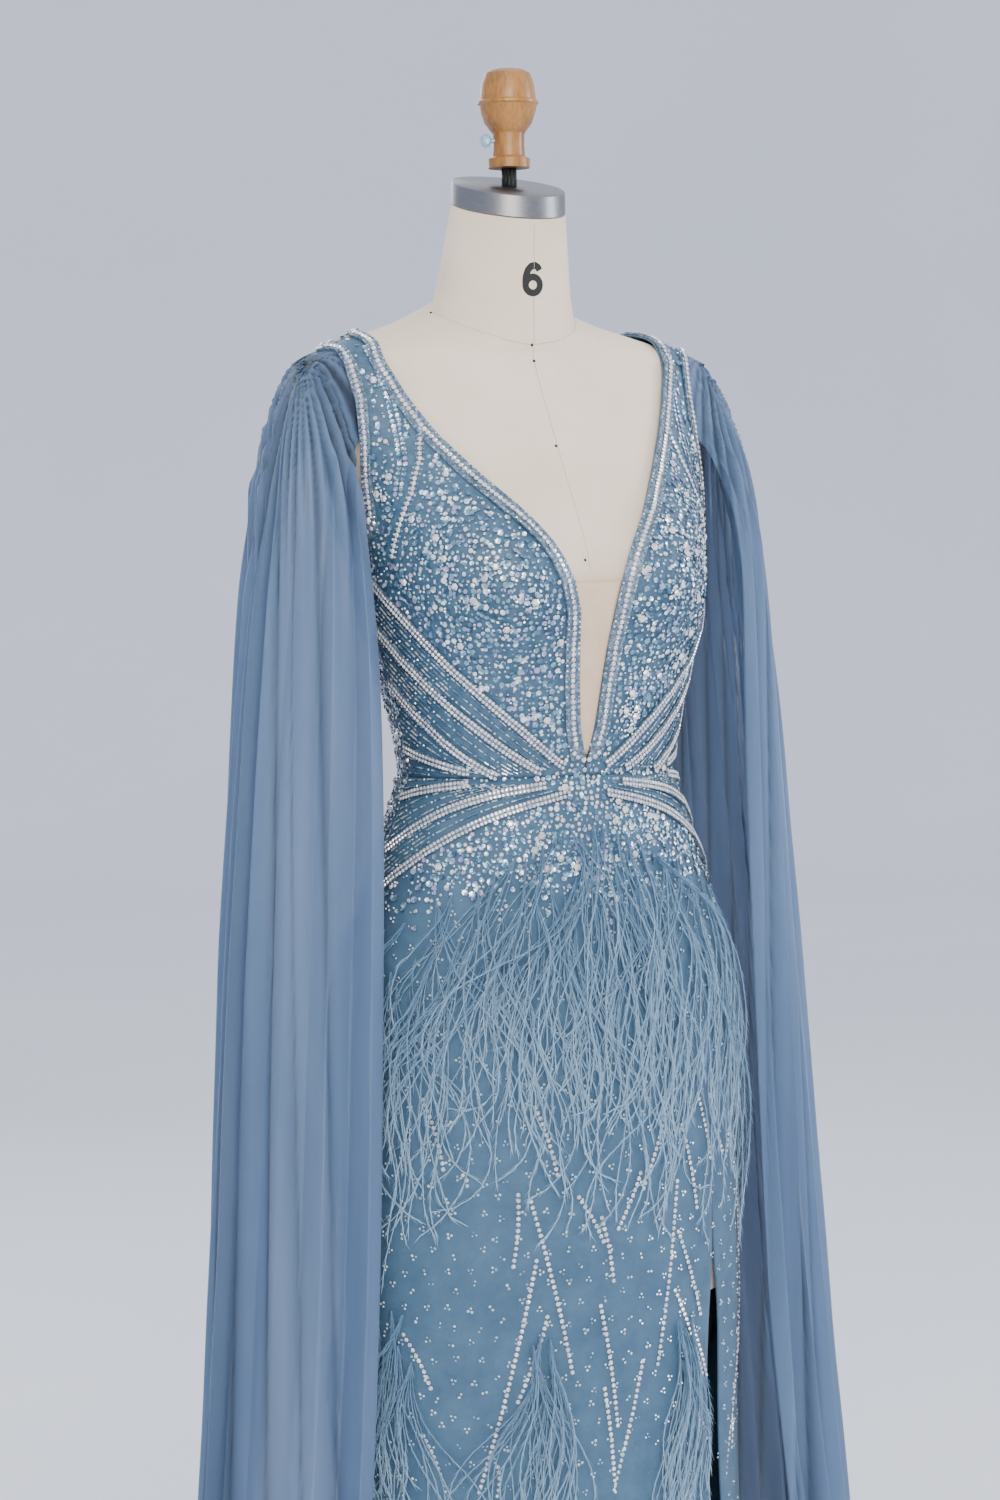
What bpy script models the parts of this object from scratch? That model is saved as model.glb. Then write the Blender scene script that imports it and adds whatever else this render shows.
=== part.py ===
"""A beaded evening gown with cape sleeves and feather trim, worn by a limbless dress form on a stand.

Metres, +Z up. The front faces -Y and the wearer's left is at +X. The origin is on the floor, at the
centre of the stand's base. Every cloth piece is a thin wall laid off one shared figure surface, so that
neighbouring pieces follow each other.
"""
import math
import random

import bmesh
import bpy
from mathutils import Vector
from mathutils.bvhtree import BVHTree

for old in list(bpy.data.objects):
    bpy.data.objects.remove(old, do_unlink=True)

# Cloth
EASE = 0.0034            # air between the form and the cloth's inner side
CUP_EASE = 0.0014        # more air over the bust
WALL = 0.0015            # wall of a sewn panel
SHEER_WALL = 0.0012      # wall of chiffon and mesh
SEAM_GAP = 0.0003        # between two panels at a seam, and under what lies on a panel
CLOTH = EASE + WALL      # from the figure surface to the cloth's outer side

# Heights above the floor
HEM_HEIGHT = 0.012
SLIT_TOP = 0.611
TORSO_BOTTOM = 0.588
WAIST = 1.065
UNDERARM = 1.270
INSERT_TOP = 1.245
INSERT_BOTTOM = 1.085

# The figure, in sections: height, half width, front y, back y, y of the widest place,
# squareness of the section (2 is an ellipse) and lean, the slope of the section towards the back
FIGURE_COLUMNS = ("height", "half_width", "front", "back", "middle", "squareness", "lean")
FIGURE = (
    (0.012, 0.232, -0.216, 0.210, -0.004, 2.0, 0.0),
    (0.070, 0.227, -0.200, 0.190, -0.006, 2.0, 0.0),
    (0.150, 0.216, -0.179, 0.163, -0.008, 2.0, 0.0),
    (0.250, 0.200, -0.155, 0.132, -0.010, 2.0, 0.0),
    (0.330, 0.190, -0.142, 0.116, -0.012, 2.0, 0.0),
    (0.400, 0.1845, -0.137, 0.109, -0.014, 2.0, 0.0),
    (0.500, 0.1880, -0.139, 0.110, -0.0145, 2.0, 0.0),
    (0.588, 0.1900, -0.140, 0.111, -0.0145, 2.0, 0.0),
    (0.700, 0.1890, -0.139, 0.112, -0.0145, 2.0, 0.0),
    (0.820, 0.1865, -0.1355, 0.111, -0.0150, 2.0, 0.0),
    (0.900, 0.1790, -0.1310, 0.106, -0.0160, 2.0, 0.0),
    (0.960, 0.1640, -0.1240, 0.096, -0.0180, 2.0, 0.0),
    (1.010, 0.1450, -0.1160, 0.083, -0.0195, 2.0, 0.0),
    (1.065, 0.1265, -0.1100, 0.070, -0.0200, 2.0, 0.0),
    (1.110, 0.1310, -0.1170, 0.074, -0.0190, 2.1, 0.0),
    (1.165, 0.1440, -0.1230, 0.084, -0.0140, 2.2, 0.0),
    (1.210, 0.1550, -0.1250, 0.094, -0.0080, 2.3, 0.0),
    (1.256, 0.1635, -0.1160, 0.104, 0.0000, 2.3, 0.0),
    (1.310, 0.1730, -0.0950, 0.113, 0.0080, 2.3, 0.0),
    (1.360, 0.1800, -0.0700, 0.116, 0.0160, 2.2, 0.0),
    (1.400, 0.1860, -0.0480, 0.112, 0.0210, 2.1, 0.02),
    (1.430, 0.1885, -0.0330, 0.101, 0.0250, 2.0, 0.05),
    (1.441, 0.1855, -0.0290, 0.096, 0.0260, 2.0, 0.08),
    (1.450, 0.1660, -0.0280, 0.094, 0.0270, 2.0, 0.14),
    (1.458, 0.1400, -0.0285, 0.093, 0.0280, 2.0, 0.22),
    (1.468, 0.1020, -0.0300, 0.093, 0.0300, 2.0, 0.32),
    (1.481, 0.0660, -0.0310, 0.092, 0.0310, 2.0, 0.38),
    (1.500, 0.0620, -0.0305, 0.088, 0.0295, 2.0, 0.36),
    (1.540, 0.0565, -0.0320, 0.078, 0.0230, 2.0, 0.31),
    (1.575, 0.0520, -0.0350, 0.069, 0.0170, 2.0, 0.268),
)

# Bust: one mound each side, over the front of the figure
BUST_HEIGHT = 1.243
BUST_HALF_SPACING = 0.086
BUST_RISE = 0.044
BUST_WIDTH = 0.044
BUST_ABOVE = 0.050
BUST_BELOW = 0.044

# Mermaid flare: waves that grow from the knee to the hem
FLARE_TOP = 0.420
FLARE_WAVES = 8
FLARE_WAVE_RISE = 0.020

# Height and half width along the V neckline, the armhole and the back neckline
NECKLINE = (
    (1.080, 0.0009), (1.110, 0.0077), (1.165, 0.0127), (1.210, 0.0184), (1.256, 0.034),
    (1.310, 0.070), (1.356, 0.104), (1.402, 0.128), (1.434, 0.140), (1.450, 0.1440),
)
ARMHOLE = (
    (1.270, 0.1675), (1.285, 0.1640), (1.311, 0.1660), (1.347, 0.1680), (1.379, 0.1660),
    (1.406, 0.1680), (1.434, 0.1725),
)
BACK_NECKLINE = (
    (1.330, 0.0009), (1.347, 0.020), (1.379, 0.060), (1.406, 0.097), (1.434, 0.126), (1.450, 0.1400),
)
SHOULDER_INNER = 0.143   # from the middle to the strap's inner edge, on the shoulder seam
SHOULDER_OUTER = 0.185
NECK_BAND_WIDTH = 0.010
ARM_BAND_WIDTH = 0.011
BAND_RISE = 0.0018

# Heights of the rows of points that the form and the panels share
SKIRT_ROWS = (0.012, 0.110, 0.210, 0.310, 0.420, 0.576, 0.611, 0.720, 0.820, 0.900, 0.960, 1.015)
BODICE_ROWS = (1.080, 1.110, 1.150, 1.185, 1.213, 1.237, 1.256, 1.270)
UPPER_ROWS = (1.282, 1.298, 1.330, 1.365, 1.400, 1.434)
SHOULDER_ROWS = (1.441, 1.447, 1.453, 1.459, 1.468)
SHOULDER_TURNS = (0.30, 0.60, 0.82)   # rows between the strap and the shoulder seam
NECK_ROWS = (1.481, 1.505, 1.575)
FORM_HALF_ANGLES = (
    0.0, 10.0, 20.0, 29.0, 38.0, 48.0, 60.0, 74.0, 86.0, 98.0, 112.0, 126.0, 140.0, 154.0, 167.0,
)
SKIRT_STEP = 7.5         # degrees between a skirt panel's columns
FRONT_COLUMNS = 11
BACK_COLUMNS = 9
SEARCH_REACH = 0.03      # how far off the figure a seat is looked for

# Slit on the wearer's left thigh
SLIT_ANGLE = 40.0
SLIT_HALF_GAP = 0.010
SLIT_SPREAD = 0.035      # height over which the slit opens

# Cape sleeve sections: height, x of the front edge, of the outermost place and of the back edge,
# and y of the front and back edges
CAPE_COLUMNS = ("height", "front_x", "side_x", "back_x", "front_y", "back_y")
CAPE = (
    (0.014, 0.264, 0.358, 0.266, -0.104, 0.128),
    (0.150, 0.243, 0.343, 0.251, -0.098, 0.122),
    (0.300, 0.220, 0.327, 0.236, -0.092, 0.118),
    (0.450, 0.203, 0.311, 0.223, -0.087, 0.117),
    (0.700, 0.194, 0.296, 0.211, -0.084, 0.121),
    (0.900, 0.187, 0.281, 0.205, -0.084, 0.128),
    (0.970, 0.178, 0.274, 0.203, -0.084, 0.131),
    (1.050, 0.174, 0.266, 0.203, -0.084, 0.134),
    (1.200, 0.189, 0.251, 0.204, -0.084, 0.135),
    (1.310, 0.189, 0.237, 0.204, -0.082, 0.136),
    (1.360, 0.186, 0.230, 0.200, -0.071, 0.133),
    (1.400, 0.183, 0.221, 0.194, -0.054, 0.126),
    (1.440, 0.182, 0.214, 0.189, -0.040, 0.118),
)
CAPE_ROUNDNESS = 2.4
CAPE_PLEATS = 10
CAPE_DROPS = (0.0, 0.005, 0.018, 0.042, 0.085, 0.18, 0.38, 0.60, 0.80, 1.0)
CAPE_SEAM_LOW = 1.365
ARMHOLE_CENTRE = 1.385
CAPE_PLEAT_RISE = 0.0085
PLEAT_DRIFT = 0.42       # how far, in pleats, the pleats stray from even spacing
SEAM_FULLNESS = 0.04
SEAM_LEAVE_SIDEWAYS = 0.62       # below 1, the cloth leaves the seam outwards first
SEAM_LEAVE_LENGTHWAYS = 1.9      # above 1, it spreads to front and back only lower down
CAPE_SEAM_INSET = 0.0013

# Midriff bands: angle and height at the inner end, angle and height at the outer end, and bow
BAND_COLUMNS = ("from_angle", "from_height", "to_angle", "to_height", "bow")
FRONT_BANDS = (
    (9.5, 1.075, 87.5, 1.258, -0.008),
    (19.0, 1.0705, 87.5, 1.203, -0.009),
    (37.0, 1.0665, 87.5, 1.151, -0.006),
    (49.0, 1.0710, 87.5, 1.092, 0.000),
    (49.0, 1.0600, 87.5, 1.044, 0.002),
    (17.0, 1.0580, 87.5, 0.997, 0.012),
    (9.0, 1.0490, 87.5, 0.955, 0.016),
)
MIDRIFF_BAND_WIDTH = 0.007
MIDRIFF_BAND_RISE = 0.0020
MIDRIFF_BAND_PITCH = 0.013
MIDRIFF_BAND_LIFT = 0.0010

# Feather trim: angle of the first and last strand, strands, root height at the middle and at the ends,
# and shortest and longest strand
TRIM_COLUMNS = (
    "name", "first_angle", "last_angle", "strands", "middle_root", "end_root", "shortest", "longest",
)
FEATHER_TRIMS = (
    ("feathers_front", -84.0, 84.0, 29, 1.026, 0.925, 0.20, 0.36),
    ("feathers_back", 98.0, 262.0, 21, 1.000, 0.925, 0.20, 0.34),
    ("feather_bunch_right", -74.0, -58.0, 5, 0.600, 0.592, 0.16, 0.26),
    ("feather_bunch_middle", -29.0, -12.0, 5, 0.582, 0.574, 0.18, 0.28),
    ("feather_bunch_left", 20.0, 35.0, 5, 0.575, 0.570, 0.16, 0.26),
    ("feather_bunch_back_left", 118.0, 136.0, 5, 0.585, 0.575, 0.16, 0.26),
    ("feather_bunch_back_right", 222.0, 240.0, 5, 0.585, 0.575, 0.16, 0.26),
)
TRIM_TAPE_HEIGHT = 0.008
TRIM_TAPE_RISE = 0.0014
TRIM_LIFT = 0.0007
STRAND_RINGS = (0.12, 0.52, 1.0)
STRAND_WIDTHS = (0.0032, 0.0036, 0.0009)
STRAND_THICKNESS = 0.0012
STRAND_SWAYS = (1.5, 2.2)        # degrees, of the under and the upper layer
STRAND_BOWS = (0.0022, 0.0095)   # how far each layer bows out from the cloth
STRAND_LIFT = 0.0016
STRAND_LOOSENESS = 0.002

# Dress form hardware
CAP_RADIUS = 0.052
CAP_HEIGHT = 0.021
CAP_CENTRE_Y = 0.017
CAP_BOTTOM = 1.5753
CAP_TILT = 15.0
FINIAL_Y = 0.0145
ROD_RADIUS = 0.007
ROD_TOP = 1.6115
FINIAL_PROFILE = (       # radius, height
    (0.0190, 1.6118), (0.0193, 1.6200), (0.0150, 1.6225), (0.0142, 1.6330), (0.0148, 1.6430),
    (0.0215, 1.6520), (0.0250, 1.6620), (0.0262, 1.6680), (0.0278, 1.6695), (0.0278, 1.6715),
    (0.0258, 1.6730), (0.0240, 1.6870), (0.0205, 1.6970), (0.0150, 1.7000),
)
SCREW_HEIGHT = 1.636
SCREW_RADIUS = 0.0022
SCREW_START = 0.0148     # from the finial's axis, just off its waist
SCREW_SHANK = 0.004
KNOB_RADIUS = 0.0068
KNOB_LENGTH = 0.0085
BLOCK_TOP = TORSO_BOTTOM - 0.0003
BLOCK_BOTTOM = 0.360
BLOCK_SECTIONS = (       # height, how far inside the form's lower edge
    (BLOCK_BOTTOM, 0.062), (BLOCK_BOTTOM + 0.012, 0.050), (0.45, 0.036), (BLOCK_TOP, 0.010),
)
POLE_RADIUS = 0.015
POLE_FOOT_RADIUS = 0.023
POLE_FOOT_HEIGHT = 0.022
BASE_RADIUS = 0.170
BASE_THICKNESS = 0.012

# Zip slider and its pull tab at centre back
SLIDER_HEIGHT = 1.312
SLIDER_LIFT = 0.0007
PLATE_SIZE = (0.0056, 0.0012, 0.0110)
BRIDGE_WIDTH = 0.0020
BRIDGE_HEIGHT = 0.0080
BRIDGE_REACH = 0.0036
BRIDGE_STOCK = 0.0008
BRIDGE_HOLE_CLEARANCE = 0.0001
PULL_BAR = 0.0009
PULL_THICKNESS = 0.0009
PULL_EYE_HALF = (0.0017, 0.0024)
PULL_HALF_WIDTH = 0.0032
PULL_LENGTH = 0.022
PULL_SHOULDER = 0.006    # below the pivot, where the tab starts to narrow
PULL_TIP = 0.003
PULL_TIP_HALF_WIDTH = 0.0024

# Finishes: base colour, roughness, metallic
FINISHES = {
    "canvas": ((0.70, 0.66, 0.60), 0.85, 0.0),
    "block_black": ((0.010, 0.012, 0.015), 0.70, 0.0),
    "cap_metal": ((0.42, 0.42, 0.44), 0.35, 1.0),
    "rod_black": ((0.015, 0.015, 0.016), 0.45, 0.6),
    "finial_wood": ((0.56, 0.34, 0.17), 0.50, 0.0),
    "knob_acrylic": ((0.62, 0.76, 0.84), 0.15, 0.0),
    "stand_metal": ((0.50, 0.50, 0.52), 0.30, 1.0),
    "beaded_cloth": ((0.22, 0.36, 0.50), 0.60, 0.0),
    "skirt_cloth": ((0.16, 0.27, 0.38), 0.75, 0.0),
    "nude_mesh": ((0.64, 0.45, 0.32), 0.80, 0.0),
    "chiffon": ((0.20, 0.30, 0.44), 0.70, 0.0),
    "stone_band": ((0.70, 0.68, 0.72), 0.25, 0.4),
    "feather": ((0.30, 0.48, 0.58), 0.80, 0.0),
    "zip_metal": ((0.45, 0.52, 0.58), 0.35, 1.0),
}


def material(finish):
    """The finish as a Principled material, made once."""
    if finish in bpy.data.materials:
        return bpy.data.materials[finish]
    colour, roughness, metallic = FINISHES[finish]
    made = bpy.data.materials.new(finish)
    made.use_nodes = True
    shader = made.node_tree.nodes["Principled BSDF"]
    shader.inputs["Base Color"].default_value = (*colour, 1.0)
    shader.inputs["Roughness"].default_value = roughness
    shader.inputs["Metallic"].default_value = metallic
    return made


def finish_object(name, bm, finish, smooth=True):
    """Turn a bmesh into a named object with outward faces."""
    bmesh.ops.recalc_face_normals(bm, faces=bm.faces)
    mesh = bpy.data.meshes.new(name)
    bm.to_mesh(mesh)
    bm.free()
    if smooth:
        mesh.shade_smooth()
        mesh.set_sharp_from_angle(angle=math.radians(40.0))
    made = bpy.data.objects.new(name, mesh)
    bpy.context.collection.objects.link(made)
    mesh.materials.append(material(finish))
    return made


def slopes_of(xs, ys):
    """Slopes of a smooth curve through the points that never overshoots them."""
    steps = [(ys[i + 1] - ys[i]) / (xs[i + 1] - xs[i]) for i in range(len(xs) - 1)]
    slopes = [steps[0]]
    for before, after in zip(steps, steps[1:]):
        turning = before * after <= 0.0
        slopes.append(0.0 if turning else 2.0 * before * after / (before + after))
    slopes.append(steps[-1])
    return slopes


class Curve:
    """A smooth function through (x, y) pairs, held level beyond its ends."""

    def __init__(self, pairs):
        self.xs = [pair[0] for pair in pairs]
        self.ys = [pair[1] for pair in pairs]
        self.slopes = slopes_of(self.xs, self.ys)

    def __call__(self, x):
        xs, ys = self.xs, self.ys
        if x <= xs[0]:
            return ys[0]
        if x >= xs[-1]:
            return ys[-1]
        i = max(k for k in range(len(xs) - 1) if xs[k] <= x)
        width = xs[i + 1] - xs[i]
        t = (x - xs[i]) / width
        rest = 1.0 - t
        return (ys[i] * (1.0 + 2.0 * t) * rest * rest + ys[i + 1] * t * t * (3.0 - 2.0 * t)
                + width * self.slopes[i] * t * rest * rest - width * self.slopes[i + 1] * t * t * rest)


def curves_of(table, columns):
    """One Curve over the first column for each further column of a table."""
    return {name: Curve([(row[0], row[k]) for row in table]) for k, name in enumerate(columns) if k}


figure = curves_of(FIGURE, FIGURE_COLUMNS)
cape_section = curves_of(CAPE, CAPE_COLUMNS)


def power(value, exponent):
    """A signed power."""
    return math.copysign(abs(value) ** exponent, value)


def bust_rise(x, height, facing):
    """How far the bust pushes the front of the figure out."""
    spread = BUST_ABOVE if height > BUST_HEIGHT else BUST_BELOW
    up = (height - BUST_HEIGHT) / spread
    rise = 0.0
    for side in (-1.0, 1.0):
        across = (x - side * BUST_HALF_SPACING) / BUST_WIDTH
        rise += math.exp(-0.5 * (across * across + up * up))
    return BUST_RISE * rise * max(0.0, facing)


def bare_figure(angle, height):
    """A point of the figure; the angle is 0 at centre front and 90 at the wearer's left."""
    turn = math.radians(angle)
    flatness = 2.0 / figure["squareness"](height)
    middle = figure["middle"](height)
    x = figure["half_width"](height) * power(math.sin(turn), flatness)
    facing = math.cos(turn)
    reach = middle - figure["front"](height) if facing > 0.0 else figure["back"](height) - middle
    y = middle - reach * power(facing, flatness) - bust_rise(x, height, facing)
    return Vector((x, y, height + figure["lean"](height) * (y - middle)))


def figure_normal(angle, height):
    """The figure's outward normal."""
    turn_step = 0.5
    rise_step = 0.002
    along = bare_figure(angle + turn_step, height) - bare_figure(angle - turn_step, height)
    low = max(height - rise_step, FIGURE[0][0])
    high = min(height + rise_step, FIGURE[-1][0])
    up = bare_figure(angle, high) - bare_figure(angle, low)
    return along.cross(up).normalized()


def flare_wave(angle, height):
    """Outward rise of the mermaid flare's waves."""
    if height >= FLARE_TOP:
        return 0.0
    growth = ((FLARE_TOP - height) / FLARE_TOP) ** 1.5
    return FLARE_WAVE_RISE * growth * math.cos(math.radians(FLARE_WAVES * angle))


def facets_tree(grids, closed=False):
    """A search tree over grids of points."""
    points = []
    polygons = []
    for rows in grids:
        start = len(points)
        width = len(rows[0])
        for row in rows:
            points += row
        for low in range(start, len(points) - width, width):
            for i in range(width if closed else width - 1):
                j = (i + 1) % width
                polygons.append((low + i, low + j, low + width + j, low + width + i))
    return BVHTree.FromPolygons(points, polygons)


def on_facets(tree, angle, height, out):
    """A point at a distance outside the real facets of a tree, or None where there are none."""
    normal = figure_normal(angle, height)
    start = bare_figure(angle, height) + normal * SEARCH_REACH
    hit = tree.ray_cast(start, -normal, 2.0 * SEARCH_REACH)[0]
    return None if hit is None else hit + normal * out


def form_rows():
    """Heights of the form's sections."""
    lower = [height for height in SKIRT_ROWS if height > SLIT_TOP]
    return [TORSO_BOTTOM, *lower, WAIST, *BODICE_ROWS, *UPPER_ROWS, *SHOULDER_ROWS, *NECK_ROWS]


form_angles = [*FORM_HALF_ANGLES, 180.0, *(360.0 - angle for angle in reversed(FORM_HALF_ANGLES[1:]))]
form_grid = [[bare_figure(angle, height) for angle in form_angles] for height in form_rows()]
form_tree = facets_tree([form_grid], closed=True)


def skin(angle, height, out):
    """A point at a distance outside the form, or outside the figure where the skirt hangs below it."""
    if height > SLIT_TOP:
        cup = bust_rise(bare_figure(angle, height).x, height, math.cos(math.radians(angle))) / BUST_RISE
        seated = on_facets(form_tree, angle, height, out + CUP_EASE * cup)
        if seated is not None:
            return seated
    return bare_figure(angle, height) + figure_normal(angle, height) * (out + flare_wave(angle, height))


def angle_at(from_middle, height, behind=False):
    """The angle where the figure, at that height, is that far from its middle plane."""
    share = min(1.0, from_middle / figure["half_width"](height))
    angle = math.degrees(math.asin(share ** (figure["squareness"](height) / 2.0)))
    return 180.0 - angle if behind else angle


def shoulder_height(from_middle):
    """Height of the shoulder ridge, that far from the middle plane."""
    low, high = 1.430, 1.481
    for _ in range(30):
        middle = 0.5 * (low + high)
        if figure["half_width"](middle) > from_middle:
            low = middle
        else:
            high = middle
    return 0.5 * (low + high)


def degrees_for(length, angle, height):
    """The turn that covers a length along the figure at a height."""
    step = (bare_figure(angle + 0.5, height) - bare_figure(angle - 0.5, height)).length
    return length / step


def add_grid(bm, rows, closed):
    """Faces over a grid of points, row by row; returns the grid of vertices."""
    verts = [[bm.verts.new(point) for point in row] for row in rows]
    count = len(verts[0])
    for lower, upper in zip(verts, verts[1:]):
        for i in range(count if closed else count - 1):
            j = (i + 1) % count
            bm.faces.new((lower[i], lower[j], upper[j], upper[i]))
    return verts


def add_wall(bm, outer_rows, inner_rows, closed=False):
    """A closed wall between two grids of points of the same size."""
    outer = add_grid(bm, outer_rows, closed)
    inner = add_grid(bm, inner_rows, closed)
    count = len(outer[0])
    for row in (0, -1):
        for i in range(count if closed else count - 1):
            j = (i + 1) % count
            bm.faces.new((outer[row][i], outer[row][j], inner[row][j], inner[row][i]))
    if not closed:
        for column in (0, -1):
            outside = [row[column] for row in outer]
            inside = [row[column] for row in inner]
            for k in range(len(outside) - 1):
                bm.faces.new((outside[k], outside[k + 1], inside[k + 1], inside[k]))


def wall_object(name, outer_rows, inner_rows, finish, closed=False):
    """A named cloth wall."""
    bm = bmesh.new()
    add_wall(bm, outer_rows, inner_rows, closed)
    return finish_object(name, bm, finish)


def panel(name, places, finish, out=EASE, wall=WALL):
    """A cloth panel from a grid of (angle, height) places on the figure; returns its outer points."""
    outer = [[skin(angle, height, out + wall) for angle, height in row] for row in places]
    inner = [[skin(angle, height, out) for angle, height in row] for row in places]
    wall_object(name, outer, inner, finish)
    return outer


def lifted(rows, places, lift, rise):
    """Outer and inner points of a band that lies on a panel's own points."""
    inner = []
    outer = []
    for row, spots in zip(rows, places):
        normals = [figure_normal(angle, height) for angle, height in spots]
        inner.append([point + normal * lift for point, normal in zip(row, normals)])
        outer.append([point + normal * (lift + rise) for point, normal in zip(row, normals)])
    return outer, inner


def mirrored(places):
    """The same places on the wearer's right."""
    return [[(-angle, height) for angle, height in row] for row in places]


def on_side(side, places):
    """Places for the wearer's left (+1) or right (-1)."""
    return places if side > 0 else mirrored(places)


SIDES = (("left", 1), ("right", -1))


# The dress form

def make_torso():
    """The canvas body, from thigh to neck, as one solid."""
    bm = bmesh.new()
    verts = add_grid(bm, form_grid, True)
    bm.faces.new(verts[0])
    bm.faces.new(verts[-1])
    finish_object("form_torso", bm, "canvas")


def turned(bm, profile, centre, sides):
    """A closed solid of revolution about a vertical axis, from (radius, height) points bottom to top."""
    middle_x, middle_y = centre
    turns = [2.0 * math.pi * k / sides for k in range(sides)]
    rows = []
    for radius, height in profile:
        row = []
        for turn in turns:
            x, y = radius * math.cos(turn), radius * math.sin(turn)
            row.append(Vector((middle_x + x, middle_y + y, height)))
        rows.append(row)
    verts = add_grid(bm, rows, True)
    bm.faces.new(verts[0])
    bm.faces.new(verts[-1])
    return verts


def turned_object(name, profile, finish, centre=(0.0, 0.0), sides=32):
    """A named solid of revolution."""
    bm = bmesh.new()
    turned(bm, profile, centre, sides)
    return finish_object(name, bm, finish)


def make_neck_cap():
    """The brushed metal cap, a flat drum that leans with the neck."""
    slope = math.tan(math.radians(CAP_TILT))
    bevel = 0.0012
    profile = ((CAP_RADIUS - bevel, 0.0), (CAP_RADIUS, bevel), (CAP_RADIUS, CAP_HEIGHT - bevel),
               (CAP_RADIUS - bevel, CAP_HEIGHT))
    bm = bmesh.new()
    turned(bm, profile, (0.0, 0.0), 32)
    for vert in bm.verts:
        x, y, up = vert.co
        vert.co = (x, CAP_CENTRE_Y + y, CAP_BOTTOM + up + slope * y)
    finish_object("neck_cap", bm, "cap_metal")


def make_finial():
    """Rod, turned finial and its clamping screw."""
    slope = math.tan(math.radians(CAP_TILT))
    bm = bmesh.new()
    verts = turned(bm, ((ROD_RADIUS, CAP_BOTTOM + CAP_HEIGHT), (ROD_RADIUS, ROD_TOP)), (0.0, FINIAL_Y), 12)
    for vert in verts[0]:
        vert.co.z += slope * (vert.co.y - CAP_CENTRE_Y) + SEAM_GAP
    finish_object("finial_rod", bm, "rod_black")
    turned_object("finial", FINIAL_PROFILE, "finial_wood", (0.0, FINIAL_Y), 20)
    shank_end = SCREW_START + SCREW_SHANK
    profile = (
        (SCREW_RADIUS, SCREW_START), (SCREW_RADIUS, shank_end), (KNOB_RADIUS * 0.7, shank_end + 0.001),
        (KNOB_RADIUS, shank_end + 0.0035), (KNOB_RADIUS * 0.62, shank_end + KNOB_LENGTH),
    )
    bm = bmesh.new()
    turned(bm, profile, (0.0, 0.0), 10)
    for vert in bm.verts:
        across, up, away = vert.co
        vert.co = (-away, FINIAL_Y + across, SCREW_HEIGHT + up)
    finish_object("finial_screw", bm, "knob_acrylic", smooth=False)


def make_stand():
    """Black lower block, pole and round base."""
    rows = []
    for height, inset in BLOCK_SECTIONS:
        rows.append([])
        for angle in form_angles:
            point = bare_figure(angle, TORSO_BOTTOM)
            inward = figure_normal(angle, TORSO_BOTTOM) * inset
            rows[-1].append(Vector((point.x - inward.x, point.y - inward.y, height)))
    bm = bmesh.new()
    verts = add_grid(bm, rows, True)
    bm.faces.new(verts[0])
    bm.faces.new(verts[-1])
    finish_object("form_lower_block", bm, "block_black")
    pole_bottom = BASE_THICKNESS + SEAM_GAP
    foot_top = pole_bottom + POLE_FOOT_HEIGHT
    pole = (
        (POLE_FOOT_RADIUS, pole_bottom), (POLE_FOOT_RADIUS, foot_top), (POLE_RADIUS, foot_top + 0.006),
        (POLE_RADIUS, BLOCK_BOTTOM - SEAM_GAP),
    )
    base = (
        (BASE_RADIUS, 0.0), (BASE_RADIUS, BASE_THICKNESS - 0.003), (BASE_RADIUS - 0.003, BASE_THICKNESS),
    )
    turned_object("stand_pole", pole, "stand_metal", sides=16)
    turned_object("stand_base", base, "stand_metal", sides=36)


# Bodice

def seam_shift(angle, height):
    """Degrees from a seam line to a panel's edge there."""
    return degrees_for(0.5 * SEAM_GAP, angle, height)


def edge_line(pairs):
    """A smooth edge: half width over height."""
    return Curve(pairs)


def bodice_rails(behind):
    """Both edges of a bodice half, inner and outer: (angle, height) from the waist to the shoulder seam."""
    neck = edge_line(BACK_NECKLINE if behind else NECKLINE)
    arm = edge_line(ARMHOLE)
    neck_bottom = (BACK_NECKLINE if behind else NECKLINE)[0][0]
    middle_angle = 180.0 if behind else 0.0
    toward_side = -1.0 if behind else 1.0
    heights = [WAIST + 0.5 * SEAM_GAP, *BODICE_ROWS, *UPPER_ROWS]
    rails = []
    for height in heights:
        if height < neck_bottom:
            inner = middle_angle + toward_side * seam_shift(middle_angle, height)
        else:
            inner = angle_at(neck(height), height, behind)
        if height <= UNDERARM:
            outer = 90.0 - toward_side * seam_shift(90.0, height)
        else:
            outer = angle_at(arm(height), height, behind)
        rails.append(((inner, height), (outer, height)))
    (inner_start, top), (outer_start, _) = rails[-1]
    seam = 90.0 - toward_side * degrees_for(SEAM_GAP, 90.0, SHOULDER_ROWS[0])
    shoulder_edges = (
        (inner_start, neck(top), SHOULDER_INNER), (outer_start, arm(top), SHOULDER_OUTER),
    )
    for turn in (*SHOULDER_TURNS, 1.0):
        rail = []
        for start, edge, end in shoulder_edges:
            angle = start + (seam - start) * turn
            from_middle = edge + (end - edge) * turn
            rail.append((angle, shoulder_height(from_middle / math.sin(math.radians(angle)))))
        rails.append(tuple(rail))
    return rails


def spread(inner, outer, first_width, last_width, columns):
    """Places between two edges: a column a band's width in from each edge, and even ones between."""
    (angle_a, height_a), (angle_b, height_b) = inner, outer
    length = (bare_figure(*inner) - bare_figure(*outer)).length
    shares = [0.0, first_width / length]
    last = 1.0 - last_width / length
    for k in range(1, columns - 4):
        shares.append(shares[1] + (last - first_width / length) * k / (columns - 4))
    shares += [last, 1.0]
    return [(angle_a + (angle_b - angle_a) * s, height_a + (height_b - height_a) * s) for s in shares]


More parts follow.
